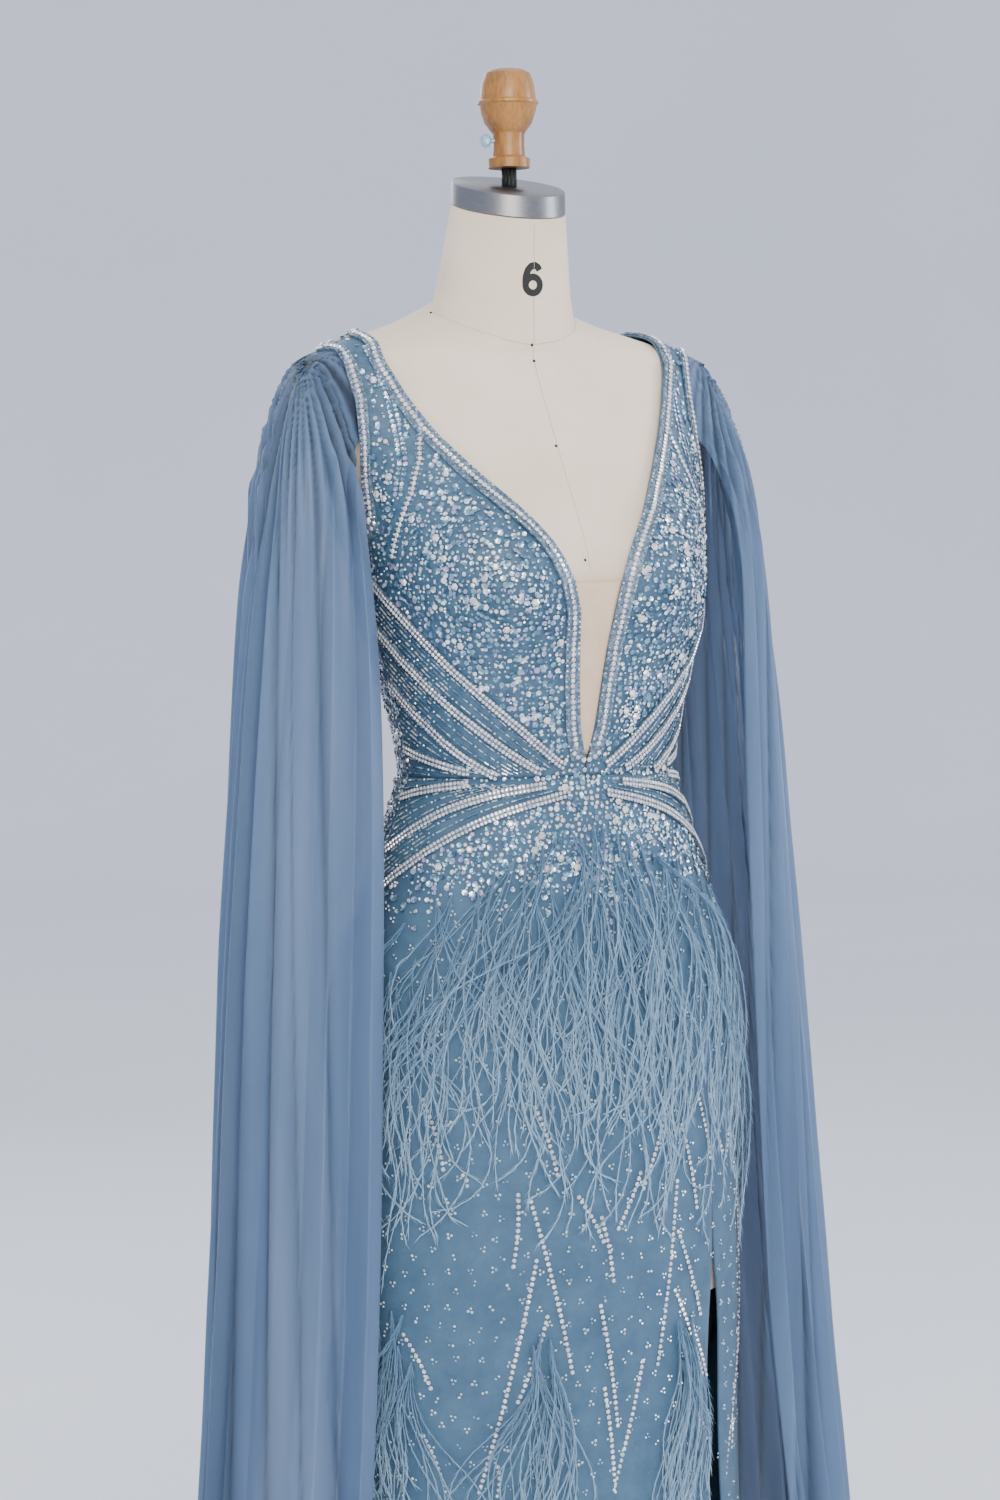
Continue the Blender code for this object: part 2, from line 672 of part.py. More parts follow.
def slant(rail, index):
    """How much longer a level cut across a band is than the band's width, from the edge's slope."""
    before = bare_figure(*rail[max(0, index - 1)])
    after = bare_figure(*rail[min(len(rail) - 1, index + 1)])
    rise = abs(after.z - before.z)
    run = math.hypot(after.x - before.x, after.y - before.y)
    return min(1.9, math.hypot(rise, run) / max(rise, 0.001))


def bodice_places(behind):
    """The grid of places of one bodice half, on the wearer's left."""
    rails = bodice_rails(behind)
    inner_rail = [rail[0] for rail in rails]
    outer_rail = [rail[1] for rail in rails]
    shoulder = len(rails) - len(SHOULDER_TURNS) - 1
    columns = BACK_COLUMNS if behind else FRONT_COLUMNS
    rows = []
    for index, (inner, outer) in enumerate(rails):
        on_shoulder = index >= shoulder
        first_width = NECK_BAND_WIDTH * (1.0 if on_shoulder else slant(inner_rail, index))
        last_width = ARM_BAND_WIDTH * (1.0 if on_shoulder else slant(outer_rail, index))
        rows.append(spread(inner, outer, first_width, last_width, columns))
    return rows


def band_on(name, rows, places, columns, first_row):
    """A stone band on a panel's own columns, from a row upwards."""
    low, high = columns
    outer, inner = lifted([row[low:high] for row in rows[first_row:]],
                          [row[low:high] for row in places[first_row:]], SEAM_GAP, BAND_RISE)
    wall_object(name, outer, inner, "stone_band")


def make_bodice():
    """Front and back halves with their neckline and armhole bands."""
    outer_points = []
    for part, behind in (("front", False), ("back", True)):
        places = bodice_places(behind)
        neck_bottom = (BACK_NECKLINE if behind else NECKLINE)[0][0]
        neck_row = min(k for k, row in enumerate(places) if row[0][1] >= neck_bottom - 0.001)
        arm_row = min(k for k, row in enumerate(places) if row[-1][1] >= UNDERARM - 0.001)
        for side_name, side in SIDES:
            spots = on_side(side, places)
            rows = panel(f"bodice_{part}_{side_name}", spots, "beaded_cloth")
            outer_points.append(rows)
            band_on(f"neckline_band_{part}_{side_name}", rows, spots, (0, 2), neck_row)
            band_on(f"armhole_band_{part}_{side_name}", rows, spots, (-2, None), arm_row)
    return outer_points


def make_insert():
    """The skin-coloured mesh between the V's edges."""
    neck = edge_line(NECKLINE)
    (v_bottom, v_half), (next_height, next_half) = NECKLINE[:2]
    up = (INSERT_BOTTOM - v_bottom) / (next_height - v_bottom)
    halves = [(INSERT_BOTTOM, v_half + (next_half - v_half) * up)]
    halves += [(height, neck(height)) for height in BODICE_ROWS if next_height <= height <= INSERT_TOP]
    rows = []
    for height, half in halves:
        edge = angle_at(half, height) - degrees_for(SEAM_GAP, 0.0, height)
        rows.append([(edge * (k / 2.0 - 1.0), height) for k in range(5)])
    panel("plunge_insert", rows, "nude_mesh", wall=SHEER_WALL)


# Skirt

def slit_edge(height, side):
    """Angle of the slit's edge: -1 for the front panel, +1 for the side panel."""
    opened = min(1.0, max(0.0, (SLIT_TOP - height) / SLIT_SPREAD))
    gap = 0.5 * SEAM_GAP + SLIT_HALF_GAP * opened * (2.0 - opened)
    return SLIT_ANGLE + side * degrees_for(gap, SLIT_ANGLE, height)


def skirt_places(first, last, columns):
    """Places of a skirt panel between two edges, each a function of height."""
    rows = []
    for height in [*SKIRT_ROWS, WAIST - 0.5 * SEAM_GAP]:
        start, end = first(height), last(height)
        rows.append([(start + (end - start) * k / columns, height) for k in range(columns + 1)])
    return rows


def seam_at(angle, side):
    """An edge that runs beside the seam at an angle."""
    return lambda height: angle + side * seam_shift(angle, height)


def make_skirt():
    """Front, slit side and two backs."""
    panels = (
        ("skirt_front", seam_at(-90.0, 1), lambda height: slit_edge(height, -1), 130.0),
        ("skirt_side_front", lambda height: slit_edge(height, 1), seam_at(90.0, -1), 50.0),
        ("skirt_back_left", seam_at(90.0, 1), seam_at(180.0, -1), 90.0),
        ("skirt_back_right", seam_at(180.0, 1), seam_at(270.0, -1), 90.0),
    )
    outer_points = []
    for name, first, last, sweep in panels:
        columns = max(8, round(sweep / SKIRT_STEP))
        outer_points.append(panel(name, skirt_places(first, last, columns), "skirt_cloth"))
    return outer_points


def on_cloth(tree, angle, height, out):
    """A point outside the panels' real facets, or where a panel would be if it reached there."""
    seated = on_facets(tree, angle, height, out)
    return skin(angle, height, CLOTH + out) if seated is None else seated


# Midriff bands

def make_midriff_band(tree, name, row, side):
    """One stone band across the midriff, of four-sided section."""
    size = dict(zip(BAND_COLUMNS, row))
    first = skin(size["from_angle"], size["from_height"], CLOTH)
    last = skin(size["to_angle"], size["to_height"], CLOTH)
    steps = max(5, round((last - first).length * 1.15 / MIDRIFF_BAND_PITCH))
    line = []
    for k in range(steps + 1):
        t = k / steps
        angle = size["from_angle"] + (size["to_angle"] - size["from_angle"]) * t
        height = size["from_height"] + (size["to_height"] - size["from_height"]) * t
        line.append((angle, height + size["bow"] * math.sin(math.pi * t)))
    outer = []
    inner = []
    for k, (angle, height) in enumerate(line):
        before, after = line[max(0, k - 1)], line[min(steps, k + 1)]
        across_step = (bare_figure(*after) - bare_figure(*before)).normalized()
        across = figure_normal(angle, height).cross(across_step)
        turn_unit = bare_figure(angle + 0.5, height) - bare_figure(angle - 0.5, height)
        turn = across.dot(turn_unit.normalized()) / turn_unit.length
        edges = []
        for half in (-0.5, 0.5):
            step = half * MIDRIFF_BAND_WIDTH
            edges.append((side * (angle + turn * step), height + across.z * step))
        inner.append([on_cloth(tree, a, h, MIDRIFF_BAND_LIFT) for a, h in edges])
        outer.append([on_cloth(tree, a, h, MIDRIFF_BAND_LIFT + MIDRIFF_BAND_RISE) for a, h in edges])
    wall_object(name, outer, inner, "stone_band")


def make_midriff_bands(tree):
    """The fan of bands in front, left and right."""
    for number, row in enumerate(FRONT_BANDS, 1):
        for side_name, side in SIDES:
            make_midriff_band(tree, f"midriff_band_{number}_{side_name}", row, side)


# Cape sleeves

def armhole_path():
    """The armhole's edge, front to back over the shoulder, as points on the cloth."""
    edges = []
    for behind in (False, True):
        rail = [outer for _, outer in bodice_rails(behind) if outer[1] >= CAPE_SEAM_LOW]
        edges.append([skin(angle, height, CLOTH) for angle, height in rail])
    return edges[0] + edges[1][::-1]


def cape_seam(share):
    """A point of the gathered edge, just inside the armhole."""
    path = armhole_path()
    lengths = [0.0]
    for a, b in zip(path, path[1:]):
        lengths.append(lengths[-1] + (b - a).length)
    reach = share * lengths[-1]
    k = max(i for i in range(len(lengths) - 1) if lengths[i] <= reach)
    edge = path[k].lerp(path[k + 1], (reach - lengths[k]) / (lengths[k + 1] - lengths[k]))
    centre = skin(90.0, ARMHOLE_CENTRE, CLOTH)
    return edge + (centre - edge).normalized() * CAPE_SEAM_INSET


def cape_curve(share, height):
    """A point of the cape's smooth section: share 0 is the front edge and 1 the back edge."""
    front_y, back_y = cape_section["front_y"](height), cape_section["back_y"](height)
    line_x = cape_section["front_x"](height) * (1.0 - share) + cape_section["back_x"](height) * share
    bulge = 1.0 - abs(2.0 * share - 1.0) ** CAPE_ROUNDNESS
    return Vector((line_x + (cape_section["side_x"](height) - line_x) * bulge,
                   front_y + (back_y - front_y) * share, height))


def pleat_phase(share):
    """Pleats counted from the front edge, unevenly spaced as hand-laid ones are."""
    def drift(at):
        return PLEAT_DRIFT * math.sin(3.0 * math.pi * at + 0.6)

    return CAPE_PLEATS * share + drift(share) - drift(0.0) * (1.0 - share) - drift(1.0) * share


def pleat_shares():
    """Four columns to a pleat, at its crests, valleys and midway."""
    fine = 2000
    table = [pleat_phase(k / fine) for k in range(fine + 1)]
    shares = []
    for quarter in range(4 * CAPE_PLEATS + 1):
        k = min(range(fine + 1), key=lambda index: abs(table[index] - quarter / 4.0))
        shares.append(k / fine)
    return shares


def cape_point(share, drop):
    """A point of the cape without its pleats."""
    top = cape_seam(share)
    height = top.z + (HEM_HEIGHT + 0.002 - top.z) * drop
    hang = cape_curve(share, height)
    reach = 0.055 + 0.11 * abs(2.0 * share - 1.0) ** 2.0
    t = min(1.0, (top.z - height) / reach)
    leave = math.sqrt(t * (2.0 - t))
    sideways = leave ** SEAM_LEAVE_SIDEWAYS
    lengthways = leave ** SEAM_LEAVE_LENGTHWAYS
    return Vector((top.x + (hang.x - top.x) * sideways, top.y + (hang.y - top.y) * lengthways, height))


def cape_rows():
    """Middle points of the pleated cape on the wearer's left."""
    shares = pleat_shares()
    rows = []
    for drop in CAPE_DROPS:
        row = []
        fullness = min(1.0, 0.22 + 6.5 * drop) * (1.0 + 0.25 * drop)
        if drop == 0.0:
            fullness = SEAM_FULLNESS
        for quarter, share in enumerate(shares):
            step = 0.004
            ahead = cape_point(min(1.0, share + step), drop)
            behind = cape_point(max(0.0, share - step), drop)
            along = ahead - behind
            outward = Vector((along.y, -along.x, 0.0)).normalized()
            uneven = 0.78 + 0.30 * math.sin(5.1 * share * math.pi + 0.9)
            rise = CAPE_PLEAT_RISE * fullness * uneven * math.sin(0.5 * math.pi * quarter)
            row.append(cape_point(share, drop) + outward * rise)
        rows.append(row)
    return rows


def grid_normals(rows):
    """Averaged normals of a grid of points."""
    normals = []
    for r, row in enumerate(rows):
        normals.append([])
        for c in range(len(row)):
            up = rows[min(r + 1, len(rows) - 1)][c] - rows[max(r - 1, 0)][c]
            along = row[min(c + 1, len(row) - 1)] - row[max(c - 1, 0)]
            normals[-1].append(up.cross(along).normalized())
    return normals


def make_capes():
    """Both pleated cape sleeves."""
    rows = cape_rows()
    normals = grid_normals(rows)
    for side_name, side in SIDES:
        flip = Vector((side, 1.0, 1.0))
        walls = []
        for half in (0.5, -0.5):
            grid = []
            for row, directions in zip(rows, normals):
                pairs = zip(row, directions)
                grid.append([(point + direction * half * SHEER_WALL) * flip for point, direction in pairs])
            walls.append(grid)
        wall_object(f"cape_{side_name}", walls[0], walls[1], "chiffon")


# Feather trim

def strand_place(size, share, down, length, layer, chance):
    """Angle, height and distance from the cloth of a strand, at a share of its length."""
    centre = 0.5 * (size["first_angle"] + size["last_angle"])
    half = 0.5 * (size["last_angle"] - size["first_angle"])
    angle = size["first_angle"] + 2.0 * half * share
    root = root_height(size, (angle - centre) / half)
    swing = math.sin(math.radians(angle * 5.0 + 70.0 * layer) + 2.0 * down)
    sway = STRAND_SWAYS[layer] * swing * down * down
    bow = STRAND_BOWS[layer] * math.sin(math.pi * min(1.0, 0.12 + 0.80 * down))
    out = STRAND_LIFT + bow + STRAND_LOOSENESS * chance * down
    return angle + sway, root - TRIM_TAPE_HEIGHT - length * down, out


def root_height(size, from_middle):
    """Height of the trim's tape, an arch from end to middle to end."""
    return size["end_root"] + (size["middle_root"] - size["end_root"]) * (1.0 - abs(from_middle) ** 1.6)


def make_feather_trim(tree, row):
    """A narrow tape with tapering strands drawn out of its lower edge."""
    size = dict(zip(TRIM_COLUMNS, row))
    count = size["strands"]
    chance = random.Random(len(size["name"]) * 7 + count)
    centre = 0.5 * (size["first_angle"] + size["last_angle"])
    half = 0.5 * (size["last_angle"] - size["first_angle"])
    bm = bmesh.new()
    rings = []
    for k in range(2 * count):
        share = (k // 2 + (0.22 if k % 2 == 0 else 0.78)) / count
        angle = size["first_angle"] + 2.0 * half * share
        top = root_height(size, (angle - centre) / half)
        corners = []
        for height, out in ((top, 0.0), (top, TRIM_TAPE_RISE), (top - TRIM_TAPE_HEIGHT, TRIM_TAPE_RISE),
                            (top - TRIM_TAPE_HEIGHT, 0.0)):
            corners.append(bm.verts.new(on_cloth(tree, angle, height, TRIM_LIFT + out)))
        rings.append(corners)
    for k, (a, b) in enumerate(zip(rings, rings[1:])):
        bm.faces.new((a[0], b[0], b[1], a[1]))
        bm.faces.new((a[1], b[1], b[2], a[2]))
        bm.faces.new((a[3], b[3], b[0], a[0]))
        if k % 2 == 1:
            bm.faces.new((a[2], b[2], b[3], a[3]))
            continue
        index = k // 2
        layer = index % 2
        length = size["shortest"] + (size["longest"] - size["shortest"]) * chance.random()
        length *= 1.0 if layer == 0 else 0.88
        before = (a[2], b[2], b[3], a[3])
        for down, width in zip(STRAND_RINGS, STRAND_WIDTHS):
            share = (index + 0.5) / count
            angle, height, out = strand_place(size, share, down, length, layer, chance.random())
            middle = on_cloth(tree, angle, height, TRIM_LIFT + out)
            normal = figure_normal(angle, height)
            across = Vector((0.0, 0.0, 1.0)).cross(normal).normalized() * 0.5 * width
            deep = normal * STRAND_THICKNESS * (0.5 if down < 1.0 else 0.3)
            steps = (deep - across, deep + across, across - deep, -across - deep)
            ring = [bm.verts.new(middle + step) for step in steps]
            for i in range(4):
                j = (i + 1) % 4
                bm.faces.new((before[i], before[j], ring[j], ring[i]))
            before = ring
        bm.faces.new(before)
    bm.faces.new(rings[0])
    bm.faces.new(rings[-1])
    finish_object(size["name"], bm, "feather")


# Zip slider and pull

def add_box(bm, centre, size):
    """A box from its centre and full size."""
    made = bmesh.ops.create_cube(bm, size=1.0)["verts"]
    for vert in made:
        vert.co = Vector(centre) + Vector(a * b for a, b in zip(vert.co, size))


def framed_plate(name, outline, hole, axis_map, finish):
    """A plate with one hole, drawn out between two places of each outline point."""
    bm = bmesh.new()
    loops = []
    for points in (outline, hole):
        loops.append([[bm.verts.new(axis_map(a, b, level)) for a, b in points] for level in (0, 1)])
    for levels in loops:
        count = len(levels[0])
        for i in range(count):
            j = (i + 1) % count
            bm.faces.new((levels[0][i], levels[0][j], levels[1][j], levels[1][i]))
    for level in (0, 1):
        edges = []
        for levels in loops:
            ring = levels[level]
            edges += [bm.edges.get((ring[i], ring[(i + 1) % len(ring)])) for i in range(len(ring))]
        bmesh.ops.triangle_fill(bm, use_beauty=True, use_dissolve=False, edges=edges)
    return finish_object(name, bm, finish, smooth=False)


def make_zip(tree):
    """The slider on the centre back seam and the pull tab that swings on its bridge."""
    seat = on_cloth(tree, 179.6, SLIDER_HEIGHT, SLIDER_LIFT)
    wide, thick, tall = PLATE_SIZE
    slider_bm = bmesh.new()
    add_box(slider_bm, (0.0, seat.y + 0.5 * thick, SLIDER_HEIGHT), (wide, thick, tall))
    slider = finish_object("zip_slider", slider_bm, "zip_metal", smooth=False)

    foot = seat.y + 0.5 * thick
    reach = seat.y + thick + BRIDGE_REACH
    outline = [(foot, -0.5 * BRIDGE_HEIGHT), (reach, -0.5 * BRIDGE_HEIGHT), (reach, 0.5 * BRIDGE_HEIGHT),
               (foot, 0.5 * BRIDGE_HEIGHT)]
    inside = 0.5 * BRIDGE_HEIGHT - BRIDGE_STOCK
    near = seat.y + thick + BRIDGE_HOLE_CLEARANCE
    far = reach - BRIDGE_STOCK
    hole = [(near, -inside), (far, -inside), (far, inside), (near, inside)]
    bridge = framed_plate(
        "zip_bridge", outline, hole,
        lambda y, z, level: (BRIDGE_WIDTH * (level - 0.5), y, SLIDER_HEIGHT + z), "zip_metal")
    bridge.hide_render = True
    bridge.display_type = 'WIRE'
    join = slider.modifiers.new("bridge", 'BOOLEAN')
    join.operation = 'UNION'
    join.object = bridge

    pivot_y = near + 0.5 * (BRIDGE_REACH - BRIDGE_STOCK)
    eye_wide, eye_deep = PULL_EYE_HALF
    bar = 0.5 * PULL_BAR
    outline = [(-PULL_HALF_WIDTH, bar), (-PULL_HALF_WIDTH, -PULL_SHOULDER)]
    for k in range(9):
        turn = math.pi * (1.0 + k / 8.0)
        across = PULL_TIP_HALF_WIDTH * math.cos(turn)
        outline.append((across, PULL_TIP * (1.0 + math.sin(turn)) - PULL_LENGTH))
    outline += [(PULL_HALF_WIDTH, -PULL_SHOULDER), (PULL_HALF_WIDTH, bar)]
    eye_bottom = -bar - 2.0 * eye_deep
    hole = [(-eye_wide, -bar), (-eye_wide, eye_bottom), (eye_wide, eye_bottom), (eye_wide, -bar)]
    pull = framed_plate(
        "zip_pull", outline, hole,
        lambda x, z, level: (x, PULL_THICKNESS * (level - 0.5), z), "zip_metal")
    pull.location = (0.0, pivot_y, SLIDER_HEIGHT)


make_torso()
make_neck_cap()
make_finial()
make_stand()
bodice_points = make_bodice()
make_insert()
skirt_points = make_skirt()
sewn_cloth = facets_tree(bodice_points + skirt_points)
make_midriff_bands(sewn_cloth)
make_capes()
for trim in FEATHER_TRIMS:
    make_feather_trim(sewn_cloth, trim)
make_zip(sewn_cloth)
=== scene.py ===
"""A beaded evening gown with pleated cape sleeves on a limbless dress form, dressed over its fixed CAD frame.

Every piece is laid on the surfaces of the frame's own nodes, in metres, with the gown's front towards -Y.
"""
import logging
import math
import random
from dataclasses import dataclass, field
from enum import Enum
from typing import Callable, Iterable, Optional, Sequence

import bmesh
import bpy
from mathutils import Matrix, Vector, noise
from mathutils.bvhtree import BVHTree
from mathutils.kdtree import KDTree


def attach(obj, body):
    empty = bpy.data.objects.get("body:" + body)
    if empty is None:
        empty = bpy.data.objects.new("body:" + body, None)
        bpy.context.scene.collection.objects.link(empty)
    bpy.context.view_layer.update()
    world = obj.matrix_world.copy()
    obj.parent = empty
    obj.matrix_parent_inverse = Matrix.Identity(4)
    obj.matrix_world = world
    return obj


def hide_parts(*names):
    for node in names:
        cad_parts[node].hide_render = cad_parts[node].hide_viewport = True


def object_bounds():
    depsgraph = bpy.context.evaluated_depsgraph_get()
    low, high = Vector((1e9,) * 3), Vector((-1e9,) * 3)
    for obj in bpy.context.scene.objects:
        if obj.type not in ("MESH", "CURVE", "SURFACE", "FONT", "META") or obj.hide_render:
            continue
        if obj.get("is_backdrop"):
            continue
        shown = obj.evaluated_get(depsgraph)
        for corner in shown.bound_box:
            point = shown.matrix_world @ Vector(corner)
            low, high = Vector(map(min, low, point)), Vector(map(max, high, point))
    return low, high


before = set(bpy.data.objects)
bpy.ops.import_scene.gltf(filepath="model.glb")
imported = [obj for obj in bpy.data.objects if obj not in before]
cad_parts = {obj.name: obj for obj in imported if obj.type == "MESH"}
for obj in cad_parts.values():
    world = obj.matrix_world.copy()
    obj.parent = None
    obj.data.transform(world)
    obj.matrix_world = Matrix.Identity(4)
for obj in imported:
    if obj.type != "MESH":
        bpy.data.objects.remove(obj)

CAD_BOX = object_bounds()
LOG = logging.getLogger("gown")

MM = 0.001
UP = Vector((0.0, 0.0, 1.0))
SEED = 6

# Where the upright lines through the figure and its neck stand, from front to back, in metres
FIGURE_AXIS_Y = -0.02
NECK_AXIS_Y = 0.025

# Heights above the floor, in metres
HEM_HEIGHT = 0.012
SLIT_TOP = 0.611
WAIST = 1.065

# The photograph's size in pixels
PHOTO_WIDTH = 1000
PHOTO_HEIGHT = 1500

BODICE_NODES = ("bodice_front_left", "bodice_front_right", "bodice_back_left", "bodice_back_right")
SKIRT_NODES = ("skirt_front", "skirt_side_front", "skirt_back_left", "skirt_back_right")
QUARTERS = ("front_left", "front_right", "back_left", "back_right")
NECKLINE_BANDS = tuple(f"neckline_band_{quarter}" for quarter in QUARTERS)
ARMHOLE_BANDS = tuple(f"armhole_band_{quarter}" for quarter in QUARTERS)
BAND_NUMBERS = range(1, 8)
SIDES = ("left", "right")
MIDRIFF_BANDS = tuple(f"midriff_band_{number}_{side}" for number in BAND_NUMBERS for side in SIDES)

# Sockets that share their names with others on the node, by number: on Mix, Map Range and Random Value
MIX_FACTOR, MIX_FIRST, MIX_SECOND, MIXED = 0, 6, 7, 2
VALUE, FROM_LOW, FROM_HIGH, TO_LOW, TO_HIGH = range(5)
DRAW_LOW, DRAW_HIGH, DRAWN = 2, 3, 1


# Small helpers

def colour(code: str) -> tuple[float, float, float, float]:
    """Turns an sRGB hex code into the linear colour that the shaders take.

    Args:
        code: A colour such as "#7C9AB5".

    Returns:
        Red, green, blue and an alpha of 1.
    """
    parts = [int(code[k:k + 2], 16) / 255.0 for k in (1, 3, 5)]
    red, green, blue = (v / 12.92 if v <= 0.04045 else ((v + 0.055) / 1.055) ** 2.4 for v in parts)
    return red, green, blue, 1.0


def add_node(tree: bpy.types.NodeTree, kind: str, inputs: Optional[dict[object, object]] = None,
             **settings: object) -> bpy.types.Node:
    """Adds a node to a tree with its settings, values and links.

    Args:
        tree: The shader or geometry tree.
        kind: The node's type name.
        inputs: Values or sockets for the node's inputs, by name or number.
        settings: The node's own properties.

    Returns:
        The new node.
    """
    node = tree.nodes.new(kind)
    for name, value in settings.items():
        setattr(node, name, value)
    for key, value in (inputs or {}).items():
        if isinstance(value, bpy.types.NodeSocket):
            tree.links.new(value, node.inputs[key])
        else:
            node.inputs[key].default_value = value
    return node


def smoothstep(low: float, high: float, value: float) -> float:
    """Rises smoothly from 0 at low to 1 at high."""
    t = min(1.0, max(0.0, (value - low) / (high - low)))
    return t * t * (3.0 - 2.0 * t)


def turns_of(count: int) -> list[float]:
    """Evenly spaced angles round a full turn, in radians."""
    return [math.tau * k / count for k in range(count)]


def new_object(name: str, data: bpy.types.ID) -> bpy.types.Object:
    """Links a mesh, curve, lamp or camera into the scene as an object at the origin.

    Args:
        name: The object's name.
        data: What it shows.

    Returns:
        The object.
    """
    item = bpy.data.objects.new(name, data)
    bpy.context.scene.collection.objects.link(item)
    return item


def baked(item: bpy.types.Object, name: str) -> bpy.types.Object:
    """Turns an object with modifiers into a plain mesh object and deletes the original.

    Args:
        item: The object with its live modifiers.
        name: The name of the plain piece.

    Returns:
        The plain piece.
    """
    graph = bpy.context.evaluated_depsgraph_get()
    mesh = bpy.data.meshes.new_from_object(item.evaluated_get(graph))
    bpy.data.objects.remove(item)
    mesh.name = name
    return new_object(name, mesh)


def keep(piece: bpy.types.Object, replaces: Sequence[str] = (),
         body: str = "root") -> bpy.types.Object:
    """Joins a finished piece to its body and the nodes that it stands for.

    Args:
        piece: The finished piece.
        replaces: The frame nodes that it stands for.
        body: The body that it moves with.

    Returns:
        The piece.
    """
    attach(piece, body)
    if replaces:
        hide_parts(*replaces)
    LOG.info("%s: %d faces", piece.name, len(piece.data.polygons))
    return piece


# Finishes

@dataclass(frozen=True)
class Finish:
    """What the real material is called and the colours and gloss that it starts from."""

    name: str
    base: str
    shade: str
    roughness: float

    def start(self) -> tuple[bpy.types.Material, bpy.types.NodeTree, bpy.types.Node, bpy.types.NodeSocket]:
        """Makes the material with its shader, and the object coordinates that its patterns read.

        Returns:
            The material, its tree, the Principled node and the coordinates' socket.
        """
        material = bpy.data.materials.new(self.name)
        material.use_nodes = True
        tree = material.node_tree
        shader = tree.nodes["Principled BSDF"]
        shader.inputs["Roughness"].default_value = self.roughness
        places = add_node(tree, "ShaderNodeTexCoord").outputs["Object"]
        return material, tree, shader, places

    def tint(self, tree: bpy.types.NodeTree, factor: bpy.types.NodeSocket) -> bpy.types.NodeSocket:
        """The finish's own two colours, from the shade at 0 to the base at 1 of a pattern."""
        two = {MIX_FACTOR: factor, MIX_FIRST: colour(self.shade), MIX_SECOND: colour(self.base)}
        return add_node(tree, "ShaderNodeMix", two, data_type="RGBA").outputs[MIXED]


@dataclass(frozen=True)
class Cloth(Finish):
    """A woven or knitted cloth: soft colour patches, a weave with painted shade in its low threads and
    painted highlight on its high ones, and a sheen.

    Glow is the share of the light that spreads inside the cloth. A stretch below 1 draws the patches out
    along the length, and the fold colour is the painted shade at the bottom of the pleats and in the gathers.
    """

    patch_mm: float = 60.0
    weave_mm: float = 1.6
    weave_depth_mm: float = 0.25
    sheen: float = 0.3
    alpha: float = 1.0
    stretch: float = 1.0
    crossed: bool = False
    weave_shade: float = 0.20
    painted_fold_shade: str = ""
    glow: float = 0.0
    glow_mm: float = 4.0

    def material(self) -> bpy.types.Material:
        """Builds the cloth's shader.

        Returns:
            The material.
        """
        material, tree, shader, places = self.start()
        drawn = add_node(tree, "ShaderNodeMapping", {"Vector": places, "Scale": (1.0, 1.0, self.stretch)})
        patches = add_node(tree, "ShaderNodeTexNoise", {
            "Vector": drawn.outputs[0], "Scale": 1.0 / (self.patch_mm * MM),
            "Detail": 5.0, "Roughness": 0.62})
        levels = add_node(tree, "ShaderNodeMapRange", {
            VALUE: patches.outputs["Fac"], FROM_LOW: 0.32, FROM_HIGH: 0.68})
        weave = self.weave(tree, places)
        patched = self.tint(tree, levels.outputs[0])
        # Painted shade: the fold attribute draws the colour towards the dark fold colour in pleat valleys and
        # gathers, with random darker patches for overlapping layers
        if self.painted_fold_shade:
            depth = add_node(tree, "ShaderNodeAttribute", attribute_name="fold")
            patched = add_node(tree, "ShaderNodeMix", {
                MIX_FACTOR: depth.outputs["Fac"], MIX_FIRST: patched, MIX_SECOND: colour(self.painted_fold_shade)},
                data_type="RGBA").outputs[MIXED]
        # Painted shade and highlight at the threads' scale: the colour is darker where the weave is low and
        # lighter where it is high
        thread = add_node(tree, "ShaderNodeMapRange", {
            VALUE: weave, FROM_LOW: 0.25, FROM_HIGH: 0.75, TO_LOW: 1.0 - 0.7 * self.weave_shade,
            TO_HIGH: 1.0 + 0.3 * self.weave_shade})
        threaded = add_node(tree, "ShaderNodeVectorMath", {0: patched, "Scale": thread.outputs[0]},
                            operation="SCALE")
        tree.links.new(threaded.outputs[0], shader.inputs["Base Color"])
        bump = add_node(tree, "ShaderNodeBump", {
            "Height": weave, "Strength": 0.55, "Distance": self.weave_depth_mm * MM})
        tree.links.new(bump.outputs[0], shader.inputs["Normal"])
        shader.inputs["Sheen Weight"].default_value = self.sheen
        shader.inputs["Sheen Roughness"].default_value = 0.45
        shader.inputs["Alpha"].default_value = self.alpha
        shader.inputs["Subsurface Weight"].default_value = self.glow
        shader.inputs["Subsurface Radius"].default_value = (0.8, 0.9, 1.0)
        shader.inputs["Subsurface Scale"].default_value = self.glow_mm * MM
        return material

    def weave(self, tree: bpy.types.NodeTree, places: bpy.types.NodeSocket) -> bpy.types.NodeSocket:
        """The threads' height: crossed threads on net, a fine crumple on every other cloth.

        Args:
            tree: The material's tree.
            places: The object coordinates.

        Returns:
            The height's socket, from 0 to 1.
        """
        scale = 1.0 / (self.weave_mm * MM)
        if not self.crossed:
            crumple = add_node(tree, "ShaderNodeTexNoise", {"Vector": places, "Scale": scale, "Detail": 2.0})
            return crumple.outputs["Fac"]
        waves = {"Vector": places, "Scale": scale / math.tau, "Distortion": 1.2, "Detail": 1.0}
        across = add_node(tree, "ShaderNodeTexWave", waves, bands_direction="X")
        along = add_node(tree, "ShaderNodeTexWave", waves, bands_direction="Z")
        crossed = add_node(tree, "ShaderNodeMath", {0: across.outputs["Fac"], 1: along.outputs["Fac"]},
                           operation="MULTIPLY")
        return crossed.outputs[0]


